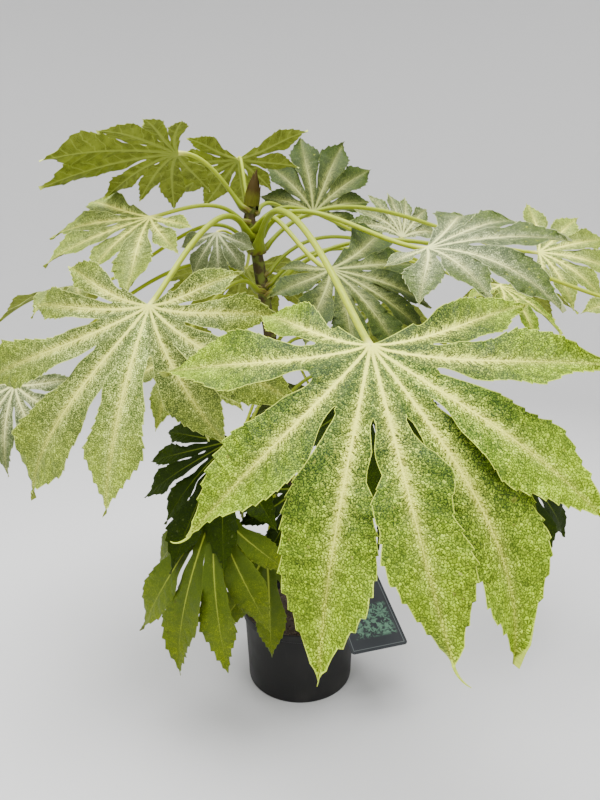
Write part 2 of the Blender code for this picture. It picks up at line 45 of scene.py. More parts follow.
WALL_REACH = 3.4
WALL_HEIGHT = 3.6
SWEEP_STEPS = 10
FLOOR_SIDES = 96
FLOOR_COLOUR = (0.62, 0.62, 0.62)
CAMERA_PLACE = (0.0, -0.826, 0.602)
CAMERA_PITCH = 12
CAMERA_LENS = 27
SENSOR_WIDTH = 36
AIR_STRENGTH = 0.78
LAMP_AIM = (0.0, 0.0, 0.4)


def surface(rings):
    """Points and faces over a row of rings of points; a ring of one point closes an end."""
    points = [Vector(point) for ring in rings for point in ring]
    faces = []
    base = 0
    for ring, after in zip(rings, rings[1:]):
        count = max(len(ring), len(after))
        follow = base + len(ring)
        for i in range(count):
            j = (i + 1) % count
            if len(ring) == 1:
                faces.append((base, follow + j, follow + i))
            elif len(after) == 1:
                faces.append((base + i, base + j, follow))
            else:
                faces.append((base + i, base + j, follow + j, follow + i))
        base = follow
    return points, faces


def smooth_mesh(name, points, faces, sharp):
    """A mesh that is shaded smooth, but for its edges sharper than an angle in degrees."""
    mesh = bpy.data.meshes.new(name)
    mesh.from_pydata(points, [], faces)
    mesh.shade_smooth()
    mesh.set_sharp_from_angle(angle=math.radians(sharp))
    return mesh


def round_places(radius, count):
    """Places (x, y) spaced evenly round a circle about the upright axis."""
    turns = [2 * math.pi * i / count for i in range(count)]
    return [(radius * math.cos(a), radius * math.sin(a)) for a in turns]


def turned(profile, sides):
    """Points and faces of a profile of (radius, height) turned upright; radius 0 closes an end."""
    rings = []
    for radius, height in profile:
        around = round_places(radius, sides) if radius else [(0.0, 0.0)]
        rings.append([(x, y, height) for x, y in around])
    return surface(rings)


def show(name, mesh):
    made = bpy.data.objects.new(name, mesh)
    bpy.context.scene.collection.objects.link(made)
    return made


def paint(name, colour, roughness, sheen=0.5):
    """A plain material, with the shader that the finishes below build on."""
    made = bpy.data.materials.new(name)
    made.use_nodes = True
    shader = made.node_tree.nodes["Principled BSDF"]
    shader.inputs["Base Color"].default_value = (*colour, 1.0)
    shader.inputs["Roughness"].default_value = roughness
    shader.inputs["Specular IOR Level"].default_value = sheen
    return made, shader


sweep = [(FLOOR_REACH, 0.0)]
for step in range(1, SWEEP_STEPS + 1):
    turn = math.pi / 2 * step / SWEEP_STEPS
    round_radius = WALL_REACH - FLOOR_REACH
    sweep.append((FLOOR_REACH + round_radius * math.sin(turn), round_radius * (1 - math.cos(turn))))
sweep = turned([(0.0, 0.0)] + sweep + [(WALL_REACH, WALL_HEIGHT)], FLOOR_SIDES)
floor = show("studio_floor", smooth_mesh("studio floor", *sweep, 60))
floor.data.materials.append(paint("studio paint", FLOOR_COLOUR, 0.9, 0.2)[0])

for name, place, size, power in (
    ("lamp_over", (-0.2, -0.3, 2.6), 2.0, 165),
    ("lamp_front_right", (1.5, -1.9, 1.9), 1.3, 22),
    ("lamp_front_left", (-1.7, -1.6, 1.7), 1.5, 18),
):
    light = bpy.data.lights.new(name, "AREA")
    light.shape = "SQUARE"
    light.size = size
    light.energy = power
    lamp = bpy.data.objects.new(name, light)
    lamp.location = place
    lamp.rotation_euler = (Vector(LAMP_AIM) - Vector(place)).to_track_quat("-Z", "Y").to_euler()
    bpy.context.scene.collection.objects.link(lamp)

world = bpy.data.worlds.new("studio air")
world.use_nodes = True
world.node_tree.nodes["Background"].inputs["Color"].default_value = (1.0, 1.0, 1.0, 1.0)
world.node_tree.nodes["Background"].inputs["Strength"].default_value = AIR_STRENGTH
bpy.context.scene.world = world

lens = bpy.data.cameras.new("camera")
lens.lens = CAMERA_LENS
lens.sensor_width = SENSOR_WIDTH
camera = bpy.data.objects.new("camera", lens)
camera.location = CAMERA_PLACE
camera.rotation_euler = (math.radians(90 - CAMERA_PITCH), 0, 0)
bpy.context.scene.collection.objects.link(camera)
bpy.context.scene.camera = camera


# Pot: one thin moulded shell of dark recycled plastic with a rolled lip and six drain holes in its floor.
# It stands on its flat underside.
RIM_RADIUS = 0.0860
FOOT_RADIUS = 0.0775
POT_HEIGHT = 0.112
WALL = 0.0014
LIP_HEIGHT = 0.011
LIP_PROUD = 0.0022
POT_FLOOR = 0.002
DRAIN_HOLES = 6
DRAIN_RADIUS = 0.0055
DRAIN_RING = 0.045
DRAIN_SIDES = 24
POT_SIDES = 120
POT_SHARP = 40
# Rounded corners of the section, as steps (outwards, up) from the sharp corner.
FOOT_CURVE = ((-0.0016, 0.0), (-0.0006, 0.0004), (0.0002, 0.0016), (0.0006, 0.0040))
UNDER_LIP_CURVE = ((0.0002, -0.0009), (0.0010, -0.0003))
LIP_LOW_CURVE = ((-0.0009, 0.0), (-0.0004, 0.0005))
LIP_TOP_CURVE = ((-0.0001, -0.0016), (-0.0004, -0.0004), (-0.0009, 0.0))
LIP_INNER_CURVE = ((-0.0004, -0.0004), (-0.0007, -0.002))
LIP_HOLLOW = (-0.0008, 0.0022)
FLOOR_CURVE = ((-0.0004, 0.006), (-0.0020, 0.0))
WALL_SHARES = (0.25, 0.5, 0.75, 0.97)
PLASTIC = (0.0085, 0.0082, 0.0078)
PLASTIC_DUST = (0.026, 0.025, 0.022)


class Mark:
    """A number or colour that varies over a surface; arithmetic on it adds nodes to its material."""

    def __init__(self, tree, socket):
        self.tree = tree
        self.socket = socket

    def into(self, shader, name):
        self.tree.links.new(self.socket, shader.inputs[name])

    def __add__(self, other):
        return maths("ADD", self, other)

    def __sub__(self, other):
        return maths("SUBTRACT", self, other)

    def __rsub__(self, other):
        return maths("SUBTRACT", other, self)

    def __mul__(self, other):
        return maths("MULTIPLY", self, other)

    def __truediv__(self, other):
        return maths("DIVIDE", self, other)

    def __pow__(self, other):
        return maths("POWER", self, other)

    def __rpow__(self, other):
        return maths("POWER", other, self)

    def __gt__(self, other):
        return maths("GREATER_THAN", self, other)

    def __abs__(self):
        return maths("ABSOLUTE", self)


def node(tree, kind, output, values=None, **settings):
    """One output of a new shader node; a value is a number, a colour or another mark."""
    made = tree.nodes.new("ShaderNode" + kind)
    for key, value in settings.items():
        setattr(made, key, value)
    for key, value in (values or {}).items():
        if isinstance(value, Mark):
            tree.links.new(value.socket, made.inputs[key])
        else:
            made.inputs[key].default_value = value
    return Mark(tree, made.outputs[output])


def maths(operation, *values):
    """A sum worked out in the material, of numbers and marks with at least one mark among them."""
    tree = next(value.tree for value in values if isinstance(value, Mark))
    return node(tree, "Math", 0, dict(enumerate(values)), operation=operation)


def ramp(value, low, high, start=0.0, end=1.0):
    """A smooth rise of value from low to high, onto start to end."""
    values = {"Value": value, "From Min": low, "From Max": high, "To Min": start, "To Max": end}
    return node(value.tree, "MapRange", "Result", values, interpolation_type="SMOOTHSTEP")


def blend(share, first, second):
    """One colour over another."""
    first, second = (colour if isinstance(colour, Mark) else (*colour, 1.0) for colour in (first, second))
    return node(share.tree, "Mix", 2, {0: share, 6: first, 7: second}, data_type="RGBA")


def grain(place, scale, detail=2.0, **values):
    """A soft random pattern between 0 and 1."""
    return node(place.tree, "TexNoise", "Fac", {"Vector": place, "Scale": scale, "Detail": detail, **values})


def parts(place):
    """The three numbers of a place or a colour."""
    split = node(place.tree, "SeparateXYZ", 0, {0: place}).socket.node
    return [Mark(place.tree, part) for part in split.outputs]


def own_place(material):
    """Places on the piece, in metres from its own origin."""
    return node(material.node_tree, "TexCoord", "Object")


def squeezed(place, share):
    """Places with their height scaled, which draws a grain out upwards."""
    return node(place.tree, "Mapping", 0, {"Vector": place, "Scale": (1.0, 1.0, share)})


def raise_by(shader, height, depth, strength):
    """Fine relief from a height between 0 and 1."""
    values = {"Height": height, "Distance": depth, "Strength": strength}
    node(height.tree, "Bump", "Normal", values).into(shader, "Normal")


def rounded(radius, height, curve):
    """One corner of the section, as a short curve."""
    return [(radius + out, height + up) for out, up in curve]


def pot_profile():
    """Half of the pot's section: under the foot, up the wall, over the lip and down the inside."""
    lip_low = POT_HEIGHT - LIP_HEIGHT
    under_lip = FOOT_RADIUS + (RIM_RADIUS - LIP_PROUD - FOOT_RADIUS) * lip_low / POT_HEIGHT
    outside = [(0.0, 0.0)] + rounded(FOOT_RADIUS, 0.0, FOOT_CURVE)
    outside += [(FOOT_RADIUS + (under_lip - FOOT_RADIUS) * share, lip_low * share) for share in WALL_SHARES]
    outside += rounded(under_lip, lip_low, UNDER_LIP_CURVE) + rounded(RIM_RADIUS, lip_low, LIP_LOW_CURVE)
    outside += rounded(RIM_RADIUS, POT_HEIGHT, LIP_TOP_CURVE)
    inside = rounded(RIM_RADIUS - WALL, POT_HEIGHT, LIP_INNER_CURVE)
    inside += rounded(RIM_RADIUS - WALL, lip_low, [LIP_HOLLOW]) + [(under_lip - WALL, lip_low)]
    inside += rounded(FOOT_RADIUS - WALL, POT_FLOOR, FLOOR_CURVE) + [(0.0, POT_FLOOR)]
    return outside + inside


def plastic_finish():
    """Dark recycled plastic, with dust in clouds and streaks, most of it near the foot."""
    made, shader = paint("pot plastic", PLASTIC, 0.5, 0.22)
    place = own_place(made)
    streaks = grain(squeezed(place, 0.12), 260.0, 3.0)
    clouds = grain(place, 22.0, 4.0)
    low = ramp(parts(place)[2], 0.0, 0.035, 0.55, 0.0)
    dust = ramp(clouds, 0.42, 0.75) * (low + 0.30) + ramp(streaks, 0.55, 0.80, 0.0, 0.16)
    blend(dust, PLASTIC, PLASTIC_DUST).into(shader, "Base Color")
    ramp(clouds, 0.3, 0.7, 0.42, 0.60).into(shader, "Roughness")
    raise_by(shader, streaks, 0.0004, 0.25)
    return made


def drilled(shell, places):
    """The shell with an upright drain hole cut through its floor at each place."""
    low, high = -2 * POT_FLOOR, 3 * POT_FLOOR
    for x, y in places:
        pin = turned([(0.0, low), (DRAIN_RADIUS, low), (DRAIN_RADIUS, high), (0.0, high)], DRAIN_SIDES)
        mesh = smooth_mesh("punch", *pin, 60)
        mesh.transform(Matrix.Translation((x, y, 0.0)))
        punch = show("punch", mesh)
        cut = shell.modifiers.new("Drain hole", "BOOLEAN")
        cut.operation = "DIFFERENCE"
        cut.object = punch
        bpy.context.view_layer.update()
        seen = shell.evaluated_get(bpy.context.evaluated_depsgraph_get())
        shell.data = bpy.data.meshes.new_from_object(seen)
        shell.modifiers.clear()
        bpy.data.objects.remove(punch)


pot = show("nursery_pot", smooth_mesh("pot", *turned(pot_profile()[::-1], POT_SIDES), POT_SHARP))
drilled(pot, round_places(DRAIN_RING, DRAIN_HOLES))
pot.data.materials.clear()
pot.data.materials.append(plastic_finish())
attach(pot, "root")
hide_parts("pot")


# Compost: dark peat and bark that fills the pot to just under the lip, loose on top with crumbs and chips.
# The stem stands in it.
COMPOST_TOP = 0.094
COMPOST_CROWN = 0.004
COMPOST_FOOT = 0.0023
COMPOST_RADIUS = 0.0810
COMPOST_RINGS = 34
COMPOST_SIDES = 132
COMPOST_INSET = 0.0026
COMPOST_SHARP = 38
LUMPS = ((60, 1.3, 0.0022), (190, 4.1, 0.0010))
CRUMBS = 520
CRUMB_REACH = 0.965
CRUMB_SUNK = 0.25
CRUMB_SIZE = (0.0008, 0.0024)
CHIP_SHARE = 0.22
CHIP_SIZES = ((0.003, 0.006), (0.0012, 0.0024), (0.0007, 0.0014))
CRUMB_EDGES = ((0, 2), (2, 1), (1, 3), (3, 0), (0, 4), (2, 4), (1, 4), (3, 4), (0, 5), (2, 5), (1, 5), (3, 5))
CRUMB_FACES = ((0, 2, 4), (2, 1, 4), (1, 3, 4), (3, 0, 4), (2, 0, 5), (1, 2, 5), (3, 1, 5), (0, 3, 5))
PEAT = (0.030, 0.019, 0.012)
PEAT_DRY = (0.115, 0.078, 0.050)


def compost_height(x, y):
    """The loose surface: a low crown with lumps of two sizes, calmer by the pot's wall."""
    lumps = sum(noise.noise(Vector((x * fine, y * fine, seed))) * tall for fine, seed, tall in LUMPS)
    out = math.hypot(x, y) / COMPOST_RADIUS
    return COMPOST_TOP + COMPOST_CROWN * (1 - out * out) + lumps * (1 - 0.5 * out)


def crumb(middle, sizes, draw):
    """Points and faces of one rough crumb: a knocked-about octahedron with its edges split."""
    corners = [(1, 0, 0), (-1, 0, 0), (0, 1, 0), (0, -1, 0), (0, 0, 1), (0, 0, -1)]
    corners = [Vector(c) * draw.uniform(0.75, 1.15) for c in corners]
    turn = Matrix.Rotation(draw.uniform(0, 6.28), 3, "Z") @ Matrix.Rotation(draw.uniform(-0.5, 0.5), 3, "X")
    corners += [(corners[a] + corners[b]).normalized() * draw.uniform(0.70, 1.0) for a, b in CRUMB_EDGES]
    points = [middle + turn @ Vector(tuple(p[i] * sizes[i] for i in range(3))) for p in corners]
    index = {frozenset(edge): 6 + i for i, edge in enumerate(CRUMB_EDGES)}
    faces = []
    for a, b, c in CRUMB_FACES:
        ab, bc, ca = (index[frozenset(edge)] for edge in ((a, b), (b, c), (c, a)))
        faces += [(a, ab, ca), (ab, b, bc), (ca, bc, c), (ab, bc, ca)]
    return points, faces


def compost_mesh():
    """The bed with its rough surface, and the crumbs and chips that lie sunk in it."""
    draw = random.Random("compost")
    rings = [[(0.0, 0.0, compost_height(0.0, 0.0))]]
    for step in range(1, COMPOST_RINGS + 1):
        places = round_places(COMPOST_RADIUS * step / COMPOST_RINGS, COMPOST_SIDES)
        rings.append([(x, y, compost_height(x, y)) for x, y in places])
    foot = FOOT_RADIUS - WALL - COMPOST_INSET
    rings.append([(x, y, COMPOST_FOOT) for x, y in round_places(foot, COMPOST_SIDES)])
    rings.append([(0.0, 0.0, COMPOST_FOOT)])
    points, faces = surface(rings)
    for _ in range(CRUMBS):
        out = COMPOST_RADIUS * CRUMB_REACH * math.sqrt(draw.random())
        turn = draw.uniform(0, 2 * math.pi)
        x, y = out * math.cos(turn), out * math.sin(turn)
        if draw.random() < CHIP_SHARE:
            sizes = tuple(draw.uniform(*size) for size in CHIP_SIZES)
        else:
            size = draw.uniform(*CRUMB_SIZE)
            sizes = (size, size * draw.uniform(0.6, 1.0), size * draw.uniform(0.5, 0.9))
        more, sides = crumb(Vector((x, y, compost_height(x, y) + sizes[2] * CRUMB_SUNK)), sizes, draw)
        faces += [tuple(i + len(points) for i in face) for face in sides]
        points += more
    return smooth_mesh("compost", points, faces, COMPOST_SHARP)


def compost_finish():
    """Damp dark peat with drier, paler bits."""
    made, shader = paint("compost", PEAT, 0.95)
    place = own_place(made)
    bit = parts(node(place.tree, "TexVoronoi", "Color", {"Vector": place, "Scale": 420.0}))[0]
    dry = ramp(bit, 0.55, 0.98) * ramp(grain(place, 45.0, 5.0), 0.30, 0.75)
    blend(dry, PEAT, PEAT_DRY).into(shader, "Base Color")
    raise_by(shader, grain(place, 900.0, 4.0), 0.0006, 0.6)
    return made


compost = show("compost_bed", compost_mesh())
compost.data.materials.append(compost_finish())
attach(compost, "root")
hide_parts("compost")


# Stem: one leaning woody stem, brown and scarred where old leaves fell low down, green where it is young.
# It ends under the growing tip, and every petiole grows from its side.
STEM = (
    (0.000, 0.000, 0.0404, 0.0100),
    (-0.002, 0.000, 0.150, 0.0098),
    (-0.010, 0.000, 0.260, 0.0092),
    (-0.022, 0.000, 0.370, 0.0088),
    (-0.036, 0.000, 0.480, 0.0084),
    (-0.050, 0.000, 0.580, 0.0082),
    (-0.060, 0.000, 0.640, 0.0080),
    (-0.067, 0.000, 0.672, 0.0076),
    (-0.064, 0.000, 0.690, 0.0066),
)
STEM_SIDES = 36
STEM_STEP = 0.0022
STEM_TOP_ROUND = 0.0015
STEM_SHARP = 70
# Scars: how far apart up the stem and round it, where they start and end, and the shape of each crescent.
SCAR_RISE = 0.0135
SCAR_TURN = math.radians(137.5)
SCARS_ABOVE_FOOT = 0.052
SCARS_END = 0.60
SCAR_REACH = 0.009
SCAR_HALF = 1.5
SCAR_BEND = 0.0022
SCAR_RIDGE = 0.0011
SCAR_GROOVE = 0.0004
ROUGHNESS = ((2, 60, 0.0005), (7, 240, 0.0002))
BARK = (0.070, 0.045, 0.022)
BARK_PALE = (0.150, 0.115, 0.065)
YOUNG_STEM = (0.095, 0.120, 0.014)
YOUNG_PATCH = (0.040, 0.022, 0.009)


def stem_at(height):
    """The stem's middle, radius and direction at a height."""
    for low, high in zip(STEM, STEM[1:]):
        if height <= high[2]:
            break
    share = (height - low[2]) / (high[2] - low[2])
    grow = Vector(high[:3]) - Vector(low[:3])
    return Vector(low[:3]) + grow * share, low[3] + share * (high[3] - low[3]), grow.normalized()


def stem_scars():
    """Height and facing of each scar, in the order in which the leaves grew."""
    height = STEM[0][2] + SCARS_ABOVE_FOOT
    turn = 0.4
    scars = []
    while height < SCARS_END:
        scars.append((height, turn % (2 * math.pi)))
        height += SCAR_RISE * (1 + 0.25 * math.sin(turn * 3))
        turn += SCAR_TURN
    return scars


def bark_relief(z, a, scars):
    """How far the bark stands proud at a height and a turn: fine roughness, and the ridges of the scars."""
    rough = sum(noise.noise(Vector((math.cos(a) * wide, math.sin(a) * wide, z * tall))) * deep
                for wide, tall, deep in ROUGHNESS)
    for scar_z, scar_a in scars:
        rise = z - scar_z
        off = abs((a - scar_a + math.pi) % (2 * math.pi) - math.pi)
        if abs(rise) > SCAR_REACH or off > SCAR_HALF:
            continue
        edge = rise + SCAR_BEND * off * off
        rough += SCAR_RIDGE * math.exp(-(edge / 0.0013) ** 2) * math.cos(off)
        rough -= SCAR_GROOVE * math.exp(-((edge - 0.003) / 0.002) ** 2) * math.cos(off)
    return rough


def stem_mesh():
    """Rings up the stem, with the crescent scars of fallen leaves."""
    low, high = STEM[0][2], STEM[-1][2]
    scars = stem_scars()
    count = int((high - low) / STEM_STEP)
    rings = [[stem_at(low)[0]]]
    for step in range(count + 1):
        z = low + (high - low) * step / count
        middle, radius, grow = stem_at(z)
        across = Vector((0, 1, 0)).cross(grow).normalized()
        front = grow.cross(across)
        ring = []
        for side in range(STEM_SIDES):
            a = 2 * math.pi * side / STEM_SIDES
            out = across * math.cos(a) + front * math.sin(a)
            ring.append(middle + out * (radius + bark_relief(z, a, scars)))
        rings.append(ring)
    top, _, grow = stem_at(high)
    rings.append([top + grow * STEM_TOP_ROUND])
    return smooth_mesh("stem", *surface(rings), STEM_SHARP)


def bark_finish():
    """Brown flecked bark below, and green young stem above with brown patches."""
    made, shader = paint("stem bark", BARK, 0.7, 0.2)
    place = own_place(made)
    flecks = grain(squeezed(place, 0.35), 420.0, 3.0)
    young = ramp(parts(place)[2] + grain(place, 55.0, 5.0) * 0.24, 0.46, 0.68)
    wood = blend(ramp(flecks, 0.45, 0.72), BARK, BARK_PALE)
    green = blend(ramp(grain(place, 95.0, 3.0), 0.38, 0.56, 0.0, 0.9), YOUNG_STEM, YOUNG_PATCH)
    blend(young, wood, green).into(shader, "Base Color")
    raise_by(shader, flecks, 0.0006, 0.5)
    return made


stem = show("woody_stem", stem_mesh())
stem.data.materials.append(bark_finish())
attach(stem, "root")
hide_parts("stem")


# Growing tip: the pointed bud on the end of the stem, wrapped in overlapping olive and brown scales.
# It grew there; the scales are leathery and dry at their edges.
BUD_HEIGHT = 0.046
BUD_RADIUS = 0.0112
BUD_SCALES = 7
BUD_LEAN = 0.005
BUD_CORE = 14
BUD_SIDES = 20
BUD_SHARP = 50
SCALE_ROWS = 16
SCALE_COLUMNS = 9
SCALE_FOOT = -0.006
SCALE_STEP = 0.0022
SCALE_HALF = 1.45
SCALE_FLICK = 0.0022
SCALE_THICK = 0.0007
BUD_OLIVE = (0.110, 0.115, 0.010)
BUD_LINES = (0.034, 0.031, 0.005)
BUD_BROWN = (0.034, 0.022, 0.004)


def bud_radius(z):
    """The bud's outline: full near its foot, drawn out to a point."""
    u = min(max(z / BUD_HEIGHT, 0.0), 1.0)
    return BUD_RADIUS * (0.70 + 1.35 * u) * (1 - u) ** 1.25 + 0.00025


def bud_scale(scale):
    """One scale: a thin curved plate wrapped round the bud, flicked out a little at its tip."""
    foot = SCALE_FOOT + SCALE_STEP * scale
    tall = BUD_HEIGHT * (0.36 + 0.09 * scale) - foot
    layer = 0.0021 - 0.00024 * scale
    plate = []
    for thick in (0.0, SCALE_THICK):
        for row in range(SCALE_ROWS + 1):
            u = row / SCALE_ROWS
            z = foot + tall * u
            spread = SCALE_HALF * (1 - u ** 2.2) + 0.03
            line = []
            for column in range(SCALE_COLUMNS):
                v = 2 * column / (SCALE_COLUMNS - 1) - 1
                a = scale * SCAR_TURN + spread * v
                out = bud_radius(z) + layer * (1 - 0.7 * u) + thick * (1 - v * v * 0.8)
                out += SCALE_FLICK * u ** 6 * (1 - scale / BUD_SCALES)
                line.append(Vector((out * math.cos(a), out * math.sin(a), z)))
            plate.append(line)
    inner, outer = plate[:SCALE_ROWS + 1], plate[SCALE_ROWS + 1:]
    centre = SCALE_COLUMNS // 2
    rings = [face + back[::-1] for back, face in zip(inner, outer)]
    return surface([[inner[0][centre]]] + rings + [[(inner[-1][centre] + outer[-1][centre]) / 2]])


def bud_mesh():
    """A closed core with its scales, the whole leaning a little towards its point."""
    heights = [BUD_HEIGHT * i / BUD_CORE for i in range(BUD_CORE)]
    core = [(0.0, 0.0)] + [(bud_radius(z) * 0.9, z) for z in heights] + [(0.0, BUD_HEIGHT)]
    points = []
    faces = []
    for more, sides in [turned(core, BUD_SIDES)] + [bud_scale(scale) for scale in range(BUD_SCALES)]:
        faces += [tuple(i + len(points) for i in face) for face in sides]
        points += more
    for point in points:
        point.x += BUD_LEAN * (max(point.z, 0.0) / BUD_HEIGHT) ** 2
    return smooth_mesh("bud", points, faces, BUD_SHARP)


def bud_finish():
    """Olive scales with fine lengthwise lines, dried brown towards the point."""
    made, shader = paint("bud scales", BUD_OLIVE, 0.6, 0.04)
    place = own_place(made)
    lines = grain(squeezed(place, 0.15), 900.0, 3.0)
    tone = ramp(parts(place)[2], 0.0, 0.035) + grain(place, 160.0, 3.0) * 0.5
    olive = blend(lines, BUD_OLIVE, BUD_LINES)
    blend(ramp(tone, 0.30, 0.80), olive, BUD_BROWN).into(shader, "Base Color")
    raise_by(shader, lines, 0.0005, 0.5)
    return made


bud = show("growing_bud", bud_mesh())
bud.data.materials.append(bud_finish())
bud_foot, _, bud_grow = stem_at(STEM[-1][2])
bud.location = bud_foot
bud.rotation_euler = bud_grow.to_track_quat("Z", "Y").to_euler()
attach(bud, "root")
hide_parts("growing_tip")


# Leaves: hand-shaped leathery blades, each on its own long petiole, grown as one piece.
# The young ones are webbed with cream along every vein, and the old ones low down are plain dark green.
# Rows give: name, finish, lobes, half width of a lobe for its length, height on the stem, petiole radius,
# junction of petiole and blade, heading, tilt below level, roll, longest lobe, bend at the junction and tips.
LEAVES = (
    ("leaf_front", "webbed", 9, 0.152, 0.634, 0.0048, (0.055, -0.36, 0.545), -90, 38, -6, 0.245, 3, 32),
    ("leaf_left", "frosted", 9, 0.15, 0.65, 0.0046, (-0.155, -0.2, 0.568), -108, 74, 8, 0.215, -15, 36),
    ("leaf_left_high", "frosted", 7, 0.165, 0.67, 0.0036, (-0.184, -0.056, 0.668), -130, 36, 16, 0.146, -8,
     18),
    ("leaf_top_left", "frosted", 9, 0.165, 0.684, 0.0038, (-0.153, -0.028, 0.748), 180, 14, -22, 0.174, -6,
     22),
    ("leaf_top_back", "frosted", 8, 0.165, 0.684, 0.0032, (-0.086, 0.065, 0.757), 100, 36, 5, 0.124, -5, 20),
    # The next two leaves take a finish darkened with painted shade, for the shade that they sit in.
    ("leaf_back_right", "in_painted_shade", 7, 0.19, 0.681, 0.0036, (0.0195, 0.112, 0.688), 50, -60, -48, 0.138, -12,
     22),
    ("leaf_right_low", "in_painted_shade", 9, 0.165, 0.656, 0.0042, (0.034, -0.125, 0.605), -30, 32, -22, 0.155, -10,
     30),
    ("leaf_right", "pale", 7, 0.19, 0.648, 0.0042, (0.144, -0.126, 0.628), -42, 14, -24, 0.168, -12, 26),
    ("leaf_right_back", "pale", 7, 0.17, 0.664, 0.0032, (0.15, 0.09, 0.652), 65, -50, -44, 0.098, -14, 40),
    ("leaf_far_right", "frosted", 7, 0.165, 0.632, 0.0038, (0.357, 0.1, 0.631), 0, 4, -50, 0.135, -6, 24),
    ("leaf_far_right_low", "frosted", 7, 0.17, 0.575, 0.0038, (0.405, -0.057, 0.564), -35, 42, 0, 0.12, 0,
     40),
    ("leaf_far_right_back", "webbed", 7, 0.16, 0.6, 0.0034, (0.33, 0.165, 0.575), 25, 12, 6, 0.13, -5, 30),
    ("leaf_young_front", "young", 5, 0.22, 0.63, 0.0024, (-0.106, -0.032, 0.652), -92, 66, 0, 0.066, 0, 34),
    ("leaf_left_back", "frosted", 7, 0.16, 0.646, 0.0034, (-0.3, 0.03, 0.585), 175, 5, 0, 0.13, 0, 35),
    ("leaf_far_left", "pale", 7, 0.13, 0.585, 0.0034, (-0.355, -0.09, 0.465), -105, 60, 0, 0.115, -5, 35),
    ("leaf_left_under", "frosted", 7, 0.14, 0.58, 0.0034, (-0.15, -0.11, 0.505), -50, 40, 0, 0.115, -5, 30),
    ("leaf_dark_left", "dark", 7, 0.165, 0.45, 0.003, (-0.088, -0.055, 0.3835), -150, 44, 16, 0.188, -8, 20),
    ("leaf_hanging_left", "plain", 6, 0.125, 0.425, 0.003, (-0.105, -0.12, 0.315), -112, 46, 0, 0.222, 8, 52),
    ("leaf_hanging_mid", "plain", 7, 0.125, 0.33, 0.0028, (-0.045, -0.085, 0.24), -75, 68, 0, 0.145, -5, 25),
    ("leaf_dark_mid", "dark", 7, 0.145, 0.385, 0.0028, (-0.005, -0.08, 0.326), -60, 58, 0, 0.11, -5, 35),
    ("leaf_dark_side", "dark", 7, 0.15, 0.365, 0.0028, (-0.115, 0.055, 0.285), 165, 55, 0, 0.105, -5, 35),
    ("leaf_dark_front", "dark", 7, 0.165, 0.505, 0.003, (0.074, -0.159, 0.467), -90, 60, 0, 0.13, -5, 30),
    ("leaf_dark_right", "dark", 7, 0.16, 0.43, 0.0032, (0.335, 0.03, 0.305), -58, 58, 0, 0.135, -5, 30),
    ("leaf_under_right", "webbed", 7, 0.15, 0.586, 0.0034, (0.285, 0.049, 0.583), -28, 22, -8, 0.115, 0, 34),
    ("leaf_back", "webbed", 9, 0.14, 0.64, 0.004, (-0.09, 0.2, 0.61), 108, 35, 0, 0.19, -10, 40),
    ("leaf_back_far_right", "webbed", 9, 0.14, 0.572, 0.004, (0.135, 0.24, 0.54), 55, 40, 0, 0.185, -10, 40),
    ("leaf_back_left", "webbed", 9, 0.14, 0.545, 0.0038, (-0.23, 0.15, 0.5), 145, 45, 0, 0.17, -10, 40),
    ("leaf_back_low", "dark", 7, 0.125, 0.47, 0.0032, (0.02, 0.17, 0.41), 85, 50, 0, 0.15, -5, 40),
    ("leaf_side_low", "dark", 7, 0.125, 0.49, 0.0032, (0.125, 0.13, 0.43), 40, 50, 0, 0.135, -5, 40),
    ("leaf_back_hanging", "plain", 7, 0.11, 0.35, 0.003, (-0.08, 0.13, 0.3), 125, 60, 0, 0.13, -5, 35),
    ("leaf_front_right", "dark", 7, 0.12, 0.4, 0.003, (0.11, -0.05, 0.345), -35, 55, 0, 0.13, -5, 35),
)
